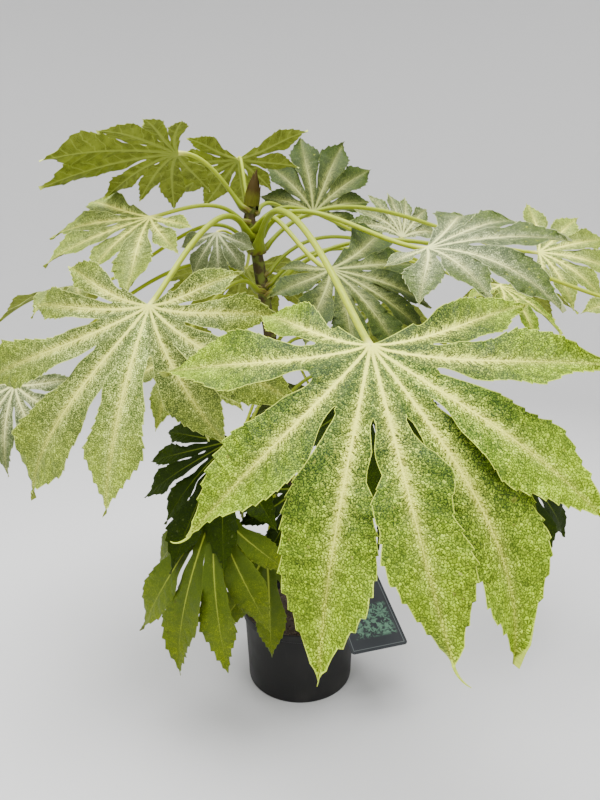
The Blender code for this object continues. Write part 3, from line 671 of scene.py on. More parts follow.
# Lobes of the leaves that show best: angle, length and bend at the tip.
LOBES = {
    "leaf_front": (
        (-132, 0.135, 28), (-96, 0.185, 18), (-47, 0.200, 28), (-15, 0.250, 45), (8, 0.235, 34),
        (32, 0.258, 57), (54, 0.215, 38), (82, 0.180, 5), (114, 0.155, 16),
    ),
    "leaf_left": (
        (-112, 0.120, 35), (-90, 0.160, 38), (-65, 0.225, 30), (-37, 0.268, 36), (-9, 0.228, 25),
        (30, 0.175, 48), (61, 0.195, 38), (91, 0.140, 38), (116, 0.105, 36),
    ),
    "leaf_left_high": (
        (-94, 0.136, 20), (-63, 0.146, 20), (-34, 0.142, 14), (-5, 0.115, 18), (30, 0.143, 16),
        (60, 0.085, 20), (92, 0.068, 8),
    ),
    "leaf_top_left": (
        (-102, 0.085, 25), (-68, 0.107, 25), (-38, 0.095, 25), (-13, 0.117, 25), (9, 0.174, 18),
        (31, 0.168, 24), (57, 0.118, 20), (83, 0.093, 20), (108, 0.078, 25),
    ),
    "leaf_top_back": (
        (-120, 0.104, 10), (-84, 0.088, 20), (-46, 0.075, 24), (-8, 0.090, 24), (30, 0.098, 20),
        (62, 0.116, 20), (93, 0.100, 20), (124, 0.085, 15),
    ),
    "leaf_back_right": (
        (-82, 0.080, 22), (-52, 0.100, 22), (-27, 0.131, 20), (-1, 0.138, 20), (29, 0.130, 20),
        (62, 0.110, 20), (95, 0.085, 20),
    ),
    "leaf_right_low": (
        (-128, 0.060, 20), (-95, 0.095, 20), (-64, 0.125, 24), (-38, 0.138, 26), (-13, 0.142, 26),
        (11, 0.140, 26), (36, 0.132, 22), (67, 0.138, 20), (97, 0.155, 20),
    ),
    "leaf_right": (
        (-106, 0.060, 20), (-60, 0.108, 26), (-22, 0.118, 24), (8, 0.168, 40), (44, 0.165, 20),
        (76, 0.150, 24), (104, 0.150, 30),
    ),
    "leaf_right_back": (
        (-48, 0.080, 22), (-18, 0.088, 20), (8, 0.080, 22), (33, 0.080, 20), (58, 0.082, 20),
        (84, 0.084, 22), (108, 0.098, 20),
    ),
    "leaf_far_right": (
        (-95, 0.080, 20), (-62, 0.105, 24), (-32, 0.120, 24), (-5, 0.135, 22), (22, 0.132, 18),
        (49, 0.116, 14), (90, 0.106, 12),
    ),
    "leaf_dark_front": (
        (-88, 0.090, 26), (-56, 0.115, 28), (-27, 0.125, 28), (0, 0.130, 30), (26, 0.125, 28),
        (52, 0.115, 28), (86, 0.090, 26),
    ),
    "leaf_dark_left": (
        (-70, 0.138, 16), (-49, 0.148, 16), (-29, 0.158, 18), (-7, 0.145, 22), (17, 0.188, 18),
        (41, 0.180, 22), (67, 0.150, 28),
    ),
    "leaf_hanging_left": (
        (-52, 0.150, 60), (-30, 0.205, 48), (-10, 0.222, 50), (13, 0.205, 50), (36, 0.175, 62),
        (62, 0.130, 60),
    ),
}
# Openings between neighbouring lobes, from the foot of each gap outwards: place along the lobe, half its
# width, and how far it leans towards the second lobe, if it does. Below zero the margins overlap.
OPENINGS = {
    "leaf_front": (
        ((0.3, 0.012), (0.38, 0.01), (0.5, 0)),
        ((0.29, 0.016), (0.36, 0.022), (0.45, 0.012), (0.55, 0)),
        ((0.28, 0.014), (0.31, 0.018), (0.36, 0.013), (0.43, 0.003), (0.48, -0.002)),
        ((0.28, 0.012), (0.32, 0.013), (0.37, 0.01), (0.44, 0.03), (0.5, 0.003), (0.53, -0.004),
         (0.56, 0.006), (0.6, 0.013, 0.006), (0.68, 0.014, 0.004), (0.74, 0.024), (0.82, 0.04)),
        ((0.28, 0.016), (0.33, 0.019, 0.002), (0.38, 0.012, 0.006), (0.41, -0.002, 0.01),
         (0.46, -0.012, 0.014), (0.5, -0.004, 0.01), (0.53, 0.012, 0.004), (0.57, 0.024),
         (0.61, 0.022, 0.002), (0.66, 0.022, 0.016), (0.75, 0.042, 0.03), (0.85, 0.05, 0.03)),
        ((0.29, 0.007), (0.33, 0), (0.38, -0.02), (0.48, -0.046), (0.6, -0.046), (0.72, -0.01), (0.8, 0)),
        ((0.29, 0.012), (0.4, 0.008), (0.55, 0.01), (0.7, 0.014)),
        ((0.3, 0.014), (0.4, 0.013), (0.6, 0.016)),
    ),
    "leaf_left": (
        ((0.29, 0.008), (0.4, 0.01), (0.55, 0.012)),
        ((0.29, 0.014), (0.4, 0.03), (0.6, 0.05)),
        ((0.29, 0.012), (0.38, 0.016), (0.5, 0.034), (0.7, 0.05)),
        ((0.28, 0.008), (0.33, 0.002), (0.36, 0.01, 0.004), (0.44, 0.026, 0.01), (0.55, 0.034, 0.004),
         (0.65, 0.03), (0.8, 0.05)),
        ((0.28, 0.018), (0.36, 0.02), (0.42, 0.003), (0.55, 0.01)),
        ((0.28, 0.012), (0.38, 0.008), (0.5, 0.004)),
        ((0.29, 0.012), (0.4, 0.01), (0.55, 0.012)),
        ((0.29, 0.01), (0.4, 0.012), (0.6, 0.016)),
    ),
}
# How far the end of each lobe swings aside, as a share of its length.
SWINGS = {
    "leaf_front": (0, 0, -0.02, 0.02, 0.02, -0.14, -0.02, 0, 0),
    "leaf_left": (0, 0, -0.02, 0.08, 0.0, 0.02, 0, 0, 0),
}
# How light each lobe of a leaf is.
TONES = {
    "leaf_front": (0.95, 0.95, 0.95, 1.10, 1.05, 1.20, 1.35, 0.90, 0.75),
    "leaf_left": (0.95, 1.0, 1.05, 1.15, 1.55, 1.0, 1.0, 0.95, 0.9),
}
# Dry threads that trail from the tips of two lobes: which lobe, how long, and how far it curls.
THREADS = {
    "leaf_front": ((2, 0.020, -75), (4, 0.018, 55)),
}
THREAD_RADIUS = 0.0012
THREAD_FROM = (0.97, 0.995)
THREAD_SWING = (0.88, 0.98)
THREAD_FLAT = 0.6
THREAD_ROWS = 12
THREAD_SIDES = 8
# Slight variety of the leaves that have no rows of their own above: lowest and highest of each draw.
ANGLE_DRAW = (-3, 3)
LENGTH_DRAW = (0.93, 1.05)
BEND_DRAW = (-6, 8)
GAP_OPEN = (0.007, 0.015)
GAP_SHUT = (0.38, 0.50)
GAP_AGAIN = (-0.006, 0.012)
GAP_LEAN = (-0.014, 0.014)
TONE_DRAW = (0.9, 1.1)
SWING_DRAW = (-0.05, 0.05)
# Shape of a lobe, as shares of its length, and angles in degrees.
FAN = {9: 245, 7: 208, 5: 150}
LAST_LOBE_SHORT = 0.46
LAST_LOBE_ANGLE = 122
SINUS = 0.27
WIDEST = 0.60
WIDER = 1.12
QUICK = 0.78
NECK = 0.30
NEIGHBOUR = 1.16
TIP_POWER = 1.8
TIP_DRAWN = 1.6
FRONT_DRAWN = 1.45
FRONT_LENGTH = 0.268
FINEST_NET = 1.7
SINUS_SPREAD = 17
OUTER_GAP = 40
OUTER_SIDE = 0.10
RIB_BOW = 0.20
FOLD = 0.22
WAVE = 0.019
WAVES = 9
WAVE_RISE = 0.15
RIPPLE = 0.008
RIPPLES = 27
OVERLAP = 0.006
OVERLAP_FROM = 0.36
OVERLAP_RISE = 0.12
LONG_BULGE = 0.06
LONG_BULGES = 11
SHORT_BULGE = 0.045
SHORT_BULGES = 23
MOST_BULGE = 1.04
LEAST_HALF = 0.03
LEAST_WIDTH = 0.0045
TIP_FADE = 0.03
LEAN_SHARE = 0.6
BLADE_THICK = 0.00065
MARGIN_THIN = 0.004
# How a rib stands out of each face: its height and what that gains towards the junction, the power with
# which it dies away to the tip, its width at the tip and what that gains.
RIB_ABOVE = (0.0011, 0.0, 0.8, 0.0004, 0.0018)
RIB_BELOW = (0.0003, 0.0021, 0.25, 0.0005, 0.0019)
MOUND_REACH = 1.7
MOUND_ABOVE = 0.55
SAME_PLACE = 1e-6
INNER_ROWS = 9
INNER = SINUS * (np.arange(INNER_ROWS + 1) / INNER_ROWS) ** 1.5
EYE_LENGTH = 0.15
EYE_ROUND = 0.16
EYE_ROWS = (0.02, 0.07, 0.16, 0.30, 0.48, 0.66, 0.84, 1.0)
TOOTH_FROM = 0.45
TOOTH_TO = 0.95
TOOTH_DEPTH = 0.0170
COARSE_POWER = 1.1
DEPTH_DRAW = (0.5, 1.25)
STEP_DRAW = 0.22
FIRST_TOOTH = 0.25
TOOTH_GROWTH = 1.4
TIP_TOOTH_LESS = 0.20
FINE_TEETH = 10
BOLD_TEETH = 7
PLAIN_TEETH = 9
TOOTH_ROWS = (0.0, 0.45, 0.80, 1.0)
TIP_ROWS = (0.962, 0.975, 0.988)
VEIN_GAP = 0.085
VEIN_SLANT = 0.9
PUCKER = 0.0045
FINE_COLUMNS = (0.0, 0.03, 0.07, 0.13, 0.22, 0.36, 0.54, 0.75, 0.92, 1.0)
PLAIN_COLUMNS = (0.0, 0.05, 0.12, 0.28, 0.52, 0.80, 1.0)
FINE_LEAVES = ("leaf_front", "leaf_left", "leaf_right", "leaf_right_low", "leaf_top_left", "leaf_left_high")


def leaf_axes(heading, tilt, roll):
    """The leaf plane: along its middle lobe, across it to the left, and up out of the upper face."""
    a, t, r = math.radians(heading), math.radians(tilt), math.radians(roll)
    along = Vector((math.cos(a) * math.cos(t), math.sin(a) * math.cos(t), -math.sin(t)))
    face = Vector((math.cos(a) * math.sin(t), math.sin(a) * math.sin(t), math.cos(t)))
    across = face.cross(along)
    up = face * math.cos(r) + across * math.sin(r)
    return along, across * math.cos(r) - face * math.sin(r), up


def lobe_plan(name, count, length, bend):
    """Each lobe's angle, length and bend at the tip: the named ones, or an even fan with slight variety."""
    if name in LOBES:
        return [(math.radians(angle), size, math.radians(tip)) for angle, size, tip in LOBES[name]]
    draw = random.Random(name)
    plan = []
    for i in range(count):
        angle = FAN[count] * (i / (count - 1) - 0.5)
        size = length * (1 - LAST_LOBE_SHORT * (angle / LAST_LOBE_ANGLE) ** 2)
        angle += draw.uniform(*ANGLE_DRAW)
        size *= draw.uniform(*LENGTH_DRAW)
        plan.append((math.radians(angle), size, math.radians(bend + draw.uniform(*BEND_DRAW))))
    return plan


def blade_place(lobe, start, u, side, lift):
    """Points of the blade in the leaf plane's axes, for arrays of u along the rib and side off it."""
    angle, size, end = lobe
    turn = end - start
    turn = turn if abs(turn) > 0.001 else 0.001
    slope = start + turn * u
    out = size * (np.sin(slope) - math.sin(start)) / turn + lift * np.sin(slope)
    height = lift * np.cos(slope) - size * (math.cos(start) - np.cos(slope)) / turn
    side = side - RIB_BOW * size * angle * u * (1 - u) ** 2
    x = out * math.cos(angle) - side * math.sin(angle)
    y = out * math.sin(angle) + side * math.cos(angle)
    return np.stack([x, y, height], -1)


def openings(name, count, draw):
    """How far each gap between two lobes stands open along its length."""
    made = list(OPENINGS.get(name, ()))
    for _ in range(count - len(made)):
        deep, shut = draw.uniform(*GAP_OPEN), draw.uniform(*GAP_SHUT)
        again, lean = draw.uniform(*GAP_AGAIN), draw.uniform(*GAP_LEAN)
        made.append(((SINUS + 0.012, deep), (SINUS + 0.06, 0.9 * deep), (shut, 0, lean),
                     (shut + 0.10, again, lean), (shut + 0.22, 0)))
    return [((SINUS, 0, 0), *((*step, 0)[:3] for step in gap)) for gap in made]


def softer(first, second):
    """The smaller of two widths, with a rounded change from one to the other."""
    return (first ** -7 + second ** -7) ** (-1 / 7)


def lobe_width(u, size, full, half_gap, opening, side, mean, drawn):
    """Half the lobe's width at each u beyond the gap's foot, with the hole beside its neck."""
    full = WIDER * full
    sinus_side = SINUS * size * math.tan(min(half_gap, math.radians(SINUS_SPREAD)))
    share = np.clip((u - SINUS) / (WIDEST - SINUS), 0, 1) ** QUICK
    neck = sinus_side * (1 - NECK * np.sin(math.pi * share))
    low = neck + (full * size - neck) * share * share * (3 - 2 * share)
    high = full * size * (1 - np.clip((u - WIDEST) / (1 - WIDEST), 0, 1) ** TIP_POWER) ** drawn
    free = np.maximum(np.where(u < WIDEST, low, high), 1e-5)
    line = u * size * math.tan(half_gap)
    if opening is None:
        return softer(free, NEIGHBOUR * line)
    places, gaps, leans = zip(*opening)
    along = u * size / mean
    spread = np.interp(along, places, gaps) * mean
    lean = side * np.interp(along, places, leans) * mean
    line = np.maximum(line + lean, LEAST_HALF * size)
    free = free + LEAN_SHARE * np.maximum(lean, 0)
    return np.minimum(softer(free, NEIGHBOUR * line + np.maximum(-2 * spread, 0)), line - spread)


def margin_rows(teeth, draw):
    """Places along one free margin beyond the sinus, and how far each juts: forward teeth, then the tip."""
    deepest = TOOTH_DEPTH * (FINE_TEETH / teeth) ** COARSE_POWER
    rows = [(SINUS + EYE_LENGTH * x, 0.0) for x in EYE_ROWS]
    at = TOOTH_FROM
    length = (TOOTH_TO - TOOTH_FROM) / teeth
    for k in range(teeth):
        depth = deepest * draw.uniform(*DEPTH_DRAW)
        depth *= min(1.0, FIRST_TOOTH + TOOTH_GROWTH * k / teeth) * (1 - TIP_TOOTH_LESS * k / teeth)
        step = length * (1 + STEP_DRAW * draw.uniform(-1, 1)) if k < teeth - 1 else TOOTH_TO - at
        for f in TOOTH_ROWS:
            rows.append((at + step * (0.05 + 0.95 * f), depth * (f ** 1.4 - 0.5)))
        at += step
    return rows + [(u, 0.0) for u in TIP_ROWS] + [(1.0, 0.0)]


def lobe_half(lobe, start, side, full, half_gap, shared, teeth, columns, draws):
    """One half of a lobe, from its rib to its edge: places, then attributes for each point."""
    angle, size, _ = lobe
    rows = margin_rows(teeth, draws["teeth"])
    mean = size
    if shared is not None:
        mean, line = shared
        u_edge = INNER * mean * math.cos(half_gap) / size
        w_edge = INNER * mean * math.sin(half_gap)
    else:
        u_edge = INNER.copy()
        w_edge = OUTER_SIDE * size * (INNER / SINUS) ** 0.8
    u_out = np.array([u for u, _ in rows])
    u_out = u_edge[-1] + (u_out - SINUS) / (1 - SINUS) * (1 - u_edge[-1])
    jut = np.array([j for _, j in rows]) * size
    bulge = 1 + LONG_BULGE * np.sin(LONG_BULGES * u_out + draws["wave"])
    bulge = bulge + SHORT_BULGE * np.sin(SHORT_BULGES * u_out + draws["ripple"])
    width = lobe_width(u_out, size, full, half_gap, draws["eye"], side, mean, draws["drawn"])
    width = width * np.minimum(bulge, MOST_BULGE) + jut
    opening = np.clip((u_out - u_edge[-1]) / (EYE_ROUND * EYE_LENGTH), 0, 1)
    rounding = np.sqrt(1 - (1 - opening) ** 2)
    width = w_edge[-1] + (width - w_edge[-1]) * rounding
    fade = np.clip((1 - u_out) / TIP_FADE, 0, 1)
    width = np.maximum(width, LEAST_WIDTH * size) * fade
    u_e = np.concatenate([u_edge, u_out])[:, None]
    w_e = np.concatenate([w_edge, width])[:, None]
    u_r = np.concatenate([INNER, draws["rib"]])[:, None]
    v = np.array(columns)[None, :]
    u = u_r + (u_e - u_r) * v ** 1.5
    arch = v * (1.35 - 0.35 * v)
    rise = np.clip((u_e - SINUS) / WAVE_RISE, 0, 1)
    wave = WAVE * size * np.sin(WAVES * u + draws["wave"]) * rise * v * v
    wave = wave + RIPPLE * size * np.sin(RIPPLES * u + draws["ripple"]) * rise * v ** 3
    wave = wave + OVERLAP * size * side * np.clip((u_e - OVERLAP_FROM) / OVERLAP_RISE, 0, 1) * v * v
    aside = w_e * v
    phase = (u * size - aside * VEIN_SLANT) / (VEIN_GAP * size) + 0.5 * (side > 0)
    bell = np.sin(math.pi * np.clip(v, 0, 1)) * np.clip(w_e / (0.1 * size), 0, 1)
    quilt = PUCKER * size * np.cos(2 * math.pi * phase) * bell
    swing = draws["swing"] * size * u ** 4
    lift = FOLD * w_e * arch + wave + quilt
    places = blade_place(lobe, start, u, side * aside + swing, lift)
    if shared is not None:
        pull = np.zeros((len(u_e), 1, 3))
        pull[: INNER_ROWS + 1, 0] = line - places[: INNER_ROWS + 1, -1]
        pull[INNER_ROWS + 1:, 0] = pull[INNER_ROWS, 0] * (np.clip(1 - opening, 0, 1) ** 2)[:, None]
        places = places + pull * (v ** 2)[..., None]
    flat_out, flat_side = u * size, side * aside
    flat = np.stack([
        flat_out * math.cos(angle) - flat_side * math.sin(angle),
        flat_out * math.sin(angle) + flat_side * math.cos(angle),
        np.full(u.shape, draws["seed"]),
    ], -1) * draws["finer"]
    margin = np.broadcast_to(w_e * (1 - v), u.shape).copy()
    if shared is not None:
        margin[: INNER_ROWS + 1] += (SINUS - INNER[:, None]) * mean
    own = np.stack([flat_out, np.broadcast_to(flat_side, u.shape), margin], -1)
    spot = np.stack([u, np.full(u.shape, draws["seed"]), np.full(u.shape, draws["tone"])], -1)
    return places, flat, own, spot


def grid_faces(rows, columns, base, flip):
    """Faces between the rows and columns of one half lobe."""
    faces = []
    for r in range(rows - 1):
        for c in range(columns - 1):
            a = base + r * columns + c
            face = (a, a + columns, a + columns + 1, a + 1)
            faces.append(face[::-1] if flip else face)
    return faces


def blade_sheets(name, lobes, start, full, teeth, columns):
    """The whole blade's middle surface: points, faces, each face's own corners, and their attributes."""
    draw = random.Random(name + " blade")
    phases = random.Random(name + " margin")
    gaps = [(b[0] - a[0]) / 2 for a, b in zip(lobes, lobes[1:])]
    eyes = openings(name, len(gaps), draw)
    lines = []
    for first, second, half in zip(lobes, lobes[1:], gaps):
        mean = (first[1] + second[1]) / 2
        reach, aside = INNER * mean * math.cos(half), INNER * mean * math.sin(half)
        a = blade_place(first, start, reach / first[1], aside, FOLD * aside)
        b = blade_place(second, start, reach / second[1], -aside, FOLD * aside)
        lines.append((mean, (a + b) / 2))
    halves = []
    faces = []
    base = 0
    for i, lobe in enumerate(lobes):
        tone = TONES[name][i] if name in TONES else draw.uniform(*TONE_DRAW)
        swing = SWINGS[name][i] if name in SWINGS else draw.uniform(*SWING_DRAW)
        seeds = {side: "%s %d %d" % (name, i, side) for side in (-1, 1)}
        rib = [np.array([u for u, _ in margin_rows(teeth, random.Random(seed))]) for seed in seeds.values()]
        for side in (-1, 1):
            neighbour = i - 1 if side < 0 else i
            inside = 0 <= neighbour < len(gaps)
            draws = {
                "teeth": random.Random(seeds[side]), "rib": (rib[0] + rib[1]) / 2, "seed": draw.random(),
                "swing": swing, "tone": tone, "wave": phases.uniform(0, 6), "ripple": draw.uniform(0, 6),
                "eye": eyes[neighbour] if inside else None,
                "drawn": FRONT_DRAWN if name == "leaf_front" else TIP_DRAWN,
                "finer": min(FRONT_LENGTH / max(size for _, size, _ in lobes), FINEST_NET),
            }
            half_gap = gaps[neighbour] if inside else math.radians(OUTER_GAP)
            shared = lines[neighbour] if inside else None
            half = lobe_half(lobe, start, side, full, half_gap, shared, teeth, columns, draws)
            rows = half[0].shape[0]
            faces += grid_faces(rows, len(columns), base, side < 0)
            base += rows * len(columns)
            halves.append([values.reshape(-1, 3) for values in half])
    places, flat, own, spot = (np.concatenate(kind) for kind in zip(*halves))
    keys = np.round(places / SAME_PLACE).astype(np.int64)
    _, first, where = np.unique(keys, axis=0, return_index=True, return_inverse=True)
    where = where.reshape(-1)
    points = places[first]
    kept = []
    corners = []
    for face in faces:
        merged = {}
        for corner in face:
            merged.setdefault(int(where[corner]), corner)
        if len(merged) > 2:
            kept.append(tuple(merged))
            corners.extend(merged.values())
    rib_off = np.full(len(points), 1.0)
    np.minimum.at(rib_off, where, np.abs(own[:, 1]))
    reach = np.zeros(len(points))
    reach[where] = spot[:, 0]
    thin = np.zeros(len(points))
    thin[where] = np.clip(own[:, 2] / MARGIN_THIN, 0.45, 1.0)
    return points, kept, np.array(corners), (flat, own, spot), rib_off, reach, thin


def point_normals(points, faces):
    """The direction in which the sheet faces at each point."""
    total = np.zeros_like(points)
    for size in (3, 4):
        some = np.array([f for f in faces if len(f) == size])
        if len(some) == 0:
            continue
        first = points[some[:, 2]] - points[some[:, 0]]
        second = points[some[:, size - 1]] - points[some[:, 1]]
        cross = np.cross(first, second)
        for k in range(size):
            np.add.at(total, some[:, k], cross)
    return total / np.maximum(np.linalg.norm(total, axis=1), 1e-12)[:, None]


def blade_solid(name, lobes, start, full, teeth, columns, scale, foot):
    """The blade as a closed leathery sheet: ribs low on the upper face and strong on the lower one."""
    points, faces, corners, marks, off, reach, thin = blade_sheets(name, lobes, start, full, teeth, columns)
    normals = point_normals(points, faces)
    left = np.clip(1 - reach, 0, 1)
    ridges = []
    for tall, more_tall, power, wide, more_wide in (RIB_ABOVE, RIB_BELOW):
        slope = off / ((wide + more_wide * left) * scale)
        ridges.append(scale * (tall + more_tall * left) * left ** power * np.exp(-slope ** 2))
    mound = foot * np.exp(-(np.linalg.norm(points, axis=1) / (MOUND_REACH * foot)) ** 2)
    half = BLADE_THICK / 2 * thin
    upper = points + normals * (half + ridges[0] + MOUND_ABOVE * mound)[:, None]
    lower = points - normals * (half + ridges[1] + (1 - MOUND_ABOVE) * mound)[:, None]
    count = len(points)
    flipped = [tuple(count + i for i in face[::-1]) for face in faces]
    edges = {}
    flip_corners = []
    at = 0
    for face in faces:
        flip_corners.extend(corners[at:at + len(face)][::-1])
        for k, a in enumerate(face):
            b = face[(k + 1) % len(face)]
            if (b, a) in edges:
                del edges[b, a]
            else:
                edges[a, b] = (corners[at + k], corners[at + (k + 1) % len(face)])
        at += len(face)
    rim = [(b, a, count + a, count + b) for a, b in edges]
    rim_corners = [c for a, b in edges.values() for c in (b, a, a, b)]
    every = np.concatenate([corners, np.array(flip_corners), np.array(rim_corners, dtype=np.int64)])
    kinds = [0] * len(faces) + [1] * len(flipped) + [0] * len(rim)
    return np.concatenate([upper, lower]), faces + flipped + rim, [m[every] for m in marks], kinds


def tip_thread(lobe, start, swing, length, curl):
    """A dry, flattened thread from the tip of a lobe: points, faces and attributes."""
    aside = np.array(THREAD_SWING) * swing * lobe[1]
    ends = blade_place(lobe, start, np.array(THREAD_FROM), aside, np.zeros(2))
    here = Vector(ends[1])
    ahead = Vector(ends[1] - ends[0]).normalized()
    rings = []
    for row in range(THREAD_ROWS + 1):
        left = 1 - row / THREAD_ROWS
        wide = Vector((0, 0, 1)).cross(ahead).normalized()
        lift = ahead.cross(wide)
        around = round_places(THREAD_RADIUS * (0.30 + 0.70 * left), THREAD_SIDES)
        rings.append([here + wide * x + lift * y * THREAD_FLAT for x, y in around])
        ahead = Matrix.Rotation(math.radians(curl) / THREAD_ROWS, 3, "Z") @ ahead
        here = here + ahead * length / THREAD_ROWS
    points, faces = surface([[Vector(ends[0])]] + rings + [[here]])
    points = np.array([tuple(point) for point in points])
    own = np.tile([lobe[1], 0.01, 0.0], (len(points), 1))
    spot = np.tile([1.0, 0.5, 1.0], (len(points), 1))
    return points, faces, (points, own, spot)


# Petiole of each leaf: a smooth, pale yellow-green stalk of living tissue, one with the blade.
# It is swollen and clasping where it grows from the stem, and runs into the ribs at its other end.
PETIOLE_ROWS = 40
PETIOLE_SIDES = 16
PETIOLE_TAPER = 0.22
PETIOLE_SLIM = 0.82
PETIOLE_HEEL = 1.3
PETIOLE_BOW = 0.012
PETIOLE_GROOVE = 0.035
CLASP_LENGTH = 4.6
CLASP_THICK = 0.75
CLASP_WIDE = 0.95
FLARE_LENGTH = 3.0
FLARE_THICK = 0.20
END_ROUND = 1.3
FOOT_INSIDE = ((0.35, 1.1), (0.8, 0.5))
PETIOLE_RISE = 52
PETIOLE_FALL = 15
PULL_OUT = 0.38
PULL_IN = 0.34
ARRIVE_ALONG = 0.9
ARRIVE_UP = 0.35
GAP = 0.0003
RIB_FOOT = 0.8
FULL_LENGTH = 0.245
LEAST_SCALE = 0.55
LEAF_SHARP = 65
LEAF_MARKS = ("flat", "lobe", "spot")
LOBED_FINELY = ("leaf_front", "leaf_left")


def petiole_line(height, radius, junction, along, up):
    """Points from inside the stem's side, up and over in an arch, and a little way into the blade's ribs."""
    middle, stem_radius, grow = stem_at(height)
    flat = Vector((junction.x - middle.x, junction.y - middle.y, 0)).normalized()
    side = (flat - grow * flat.dot(grow)).normalized()
    foot = middle + side * (stem_radius + GAP + radius * PETIOLE_HEEL)
    rise = math.radians(PETIOLE_RISE)
    leave = flat * math.cos(rise) + Vector((0, 0, math.sin(rise)))
    reach = (junction - foot).length
    drop = math.radians(PETIOLE_FALL)
    fall = flat * math.cos(drop) - Vector((0, 0, math.sin(drop)))
    arrive = (fall + along * ARRIVE_ALONG + up * ARRIVE_UP).normalized()
    pull_out = foot + leave * reach * PULL_OUT
    pull_in = junction - arrive * reach * PULL_IN
    line = [middle + side * stem_radius * out - grow * radius * down for out, down in FOOT_INSIDE]
    for i in range(PETIOLE_ROWS + 1):
        t = i / PETIOLE_ROWS
        s = 1 - t
        line.append(s**3 * foot + 3 * s * s * t * pull_out + 3 * s * t * t * pull_in + t**3 * junction)
    line += [junction + (arrive + along).normalized() * radius * 0.45, junction + along * radius * 0.95]
    return line, flat


def petiole_skin(name, height, radius, junction, along, up):
    """The petiole with its swollen foot and flared end: points, faces and attributes."""
    line, flat = petiole_line(height, radius, junction, along, up)
    draw = random.Random(name + " petiole")
    lengths = [0.0]
    for a, b in zip(line, line[1:]):
        lengths.append(lengths[-1] + (b - a).length)
    total = lengths[-1]
    wide = Vector((0, 0, 1)).cross(flat).normalized()
    rings = [[line[0] - flat * radius * 0.3]]
    travelled = [0.0]
    turns = [0.0]
    bow = draw.uniform(-1, 1) * PETIOLE_BOW * total
    for k, (here, run) in enumerate(zip(line, lengths)):
        ahead = line[min(k + 1, len(line) - 1)] - line[max(k - 1, 0)]
        ahead.normalize()
        tangent = (wide - ahead * wide.dot(ahead)).normalized()
        lift = ahead.cross(tangent)
        clasp = math.exp(-(run / (CLASP_LENGTH * radius)) ** 2)
        flare = math.exp(-((total - run) / (FLARE_LENGTH * radius)) ** 2)
        thick = PETIOLE_SLIM * radius * (1 - PETIOLE_TAPER * run / total)
        thick *= 1 + CLASP_THICK * clasp + FLARE_THICK * flare
        end = min((total - run) / (END_ROUND * radius), 1.0)
        thick *= math.sqrt(max(1 - (1 - end) ** 2, 0.0)) * 0.98 + 0.02
        shift = wide * bow * math.sin(math.pi * run / total) ** 2
        ring = []
        for side in range(PETIOLE_SIDES):
            a = 2 * math.pi * side / PETIOLE_SIDES
            groove = 1 - PETIOLE_GROOVE * math.cos(5 * a)
            across = tangent * math.cos(a) * (1 + CLASP_WIDE * clasp) + lift * math.sin(a)
            ring.append(here + shift + across * thick * groove)
            travelled.append(run)
            turns.append(a)
        rings.append(ring)
    points, faces = surface(rings + [[line[-1] + along * radius * 0.1]])
    travelled.append(total)
    turns.append(0.0)
    run = np.array(travelled)
    turn = np.array(turns)
    flat_mark = np.stack([0.004 * np.cos(turn), 0.004 * np.sin(turn), run * 0.12], -1)
    own = np.stack([run, total - run, np.full(len(run), 0.01)], -1)
    spot = np.stack([run / total, np.full(len(run), draw.random()), np.full(len(run), draw.random())], -1)
    return np.array([tuple(p) for p in points]), faces, (flat_mark, own, spot)


def leaf_mesh(row):
    """Blade, dry threads and petiole of one leaf as one mesh, with the coordinates that its finish uses."""
    name, kind, count, full, height, radius, place, heading, tilt, roll, length, start, bend = row
    along, across, up = leaf_axes(heading, tilt, roll)
    junction = Vector(place)
    start = math.radians(start)
    lobes = lobe_plan(name, count, length, bend)
    teeth = PLAIN_TEETH if kind == "plain" else BOLD_TEETH
    teeth = FINE_TEETH if name in LOBED_FINELY else teeth
    columns = FINE_COLUMNS if name in FINE_LEAVES else PLAIN_COLUMNS
    scale = max(length / FULL_LENGTH, LEAST_SCALE)
    foot = radius * RIB_FOOT
    points, faces, marks, kinds = blade_solid(name, lobes, start, full, teeth, columns, scale, foot)
    extras = [tip_thread(lobes[lobe], start, SWINGS[name][lobe], long, curl)
              for lobe, long, curl in THREADS.get(name, ())]
    turn = np.array([tuple(along), tuple(across), tuple(up)])
    extras = [(more @ turn + np.array(junction), sides, own, 0) for more, sides, own in extras]
    points = points @ turn + np.array(junction)
    extras.append((*petiole_skin(name, height, radius, junction, along, up), 2))
    for more, sides, own, slot in extras:
        corners = [i for face in sides for i in face]
        faces = faces + [tuple(len(points) + i for i in face) for face in sides]
        points = np.concatenate([points, more])
        marks = [np.concatenate([mark, extra[corners]]) for mark, extra in zip(marks, own)]
        kinds = kinds + [slot] * len(sides)
    mesh = smooth_mesh(name, points.tolist(), faces, LEAF_SHARP)
    for label, mark in zip(LEAF_MARKS, marks):
        layer = mesh.attributes.new(label, "FLOAT_VECTOR", "CORNER")
        layer.data.foreach_set("vector", mark.astype(np.float32).ravel())
    mesh.polygons.foreach_set("material_index", kinds)
    return mesh
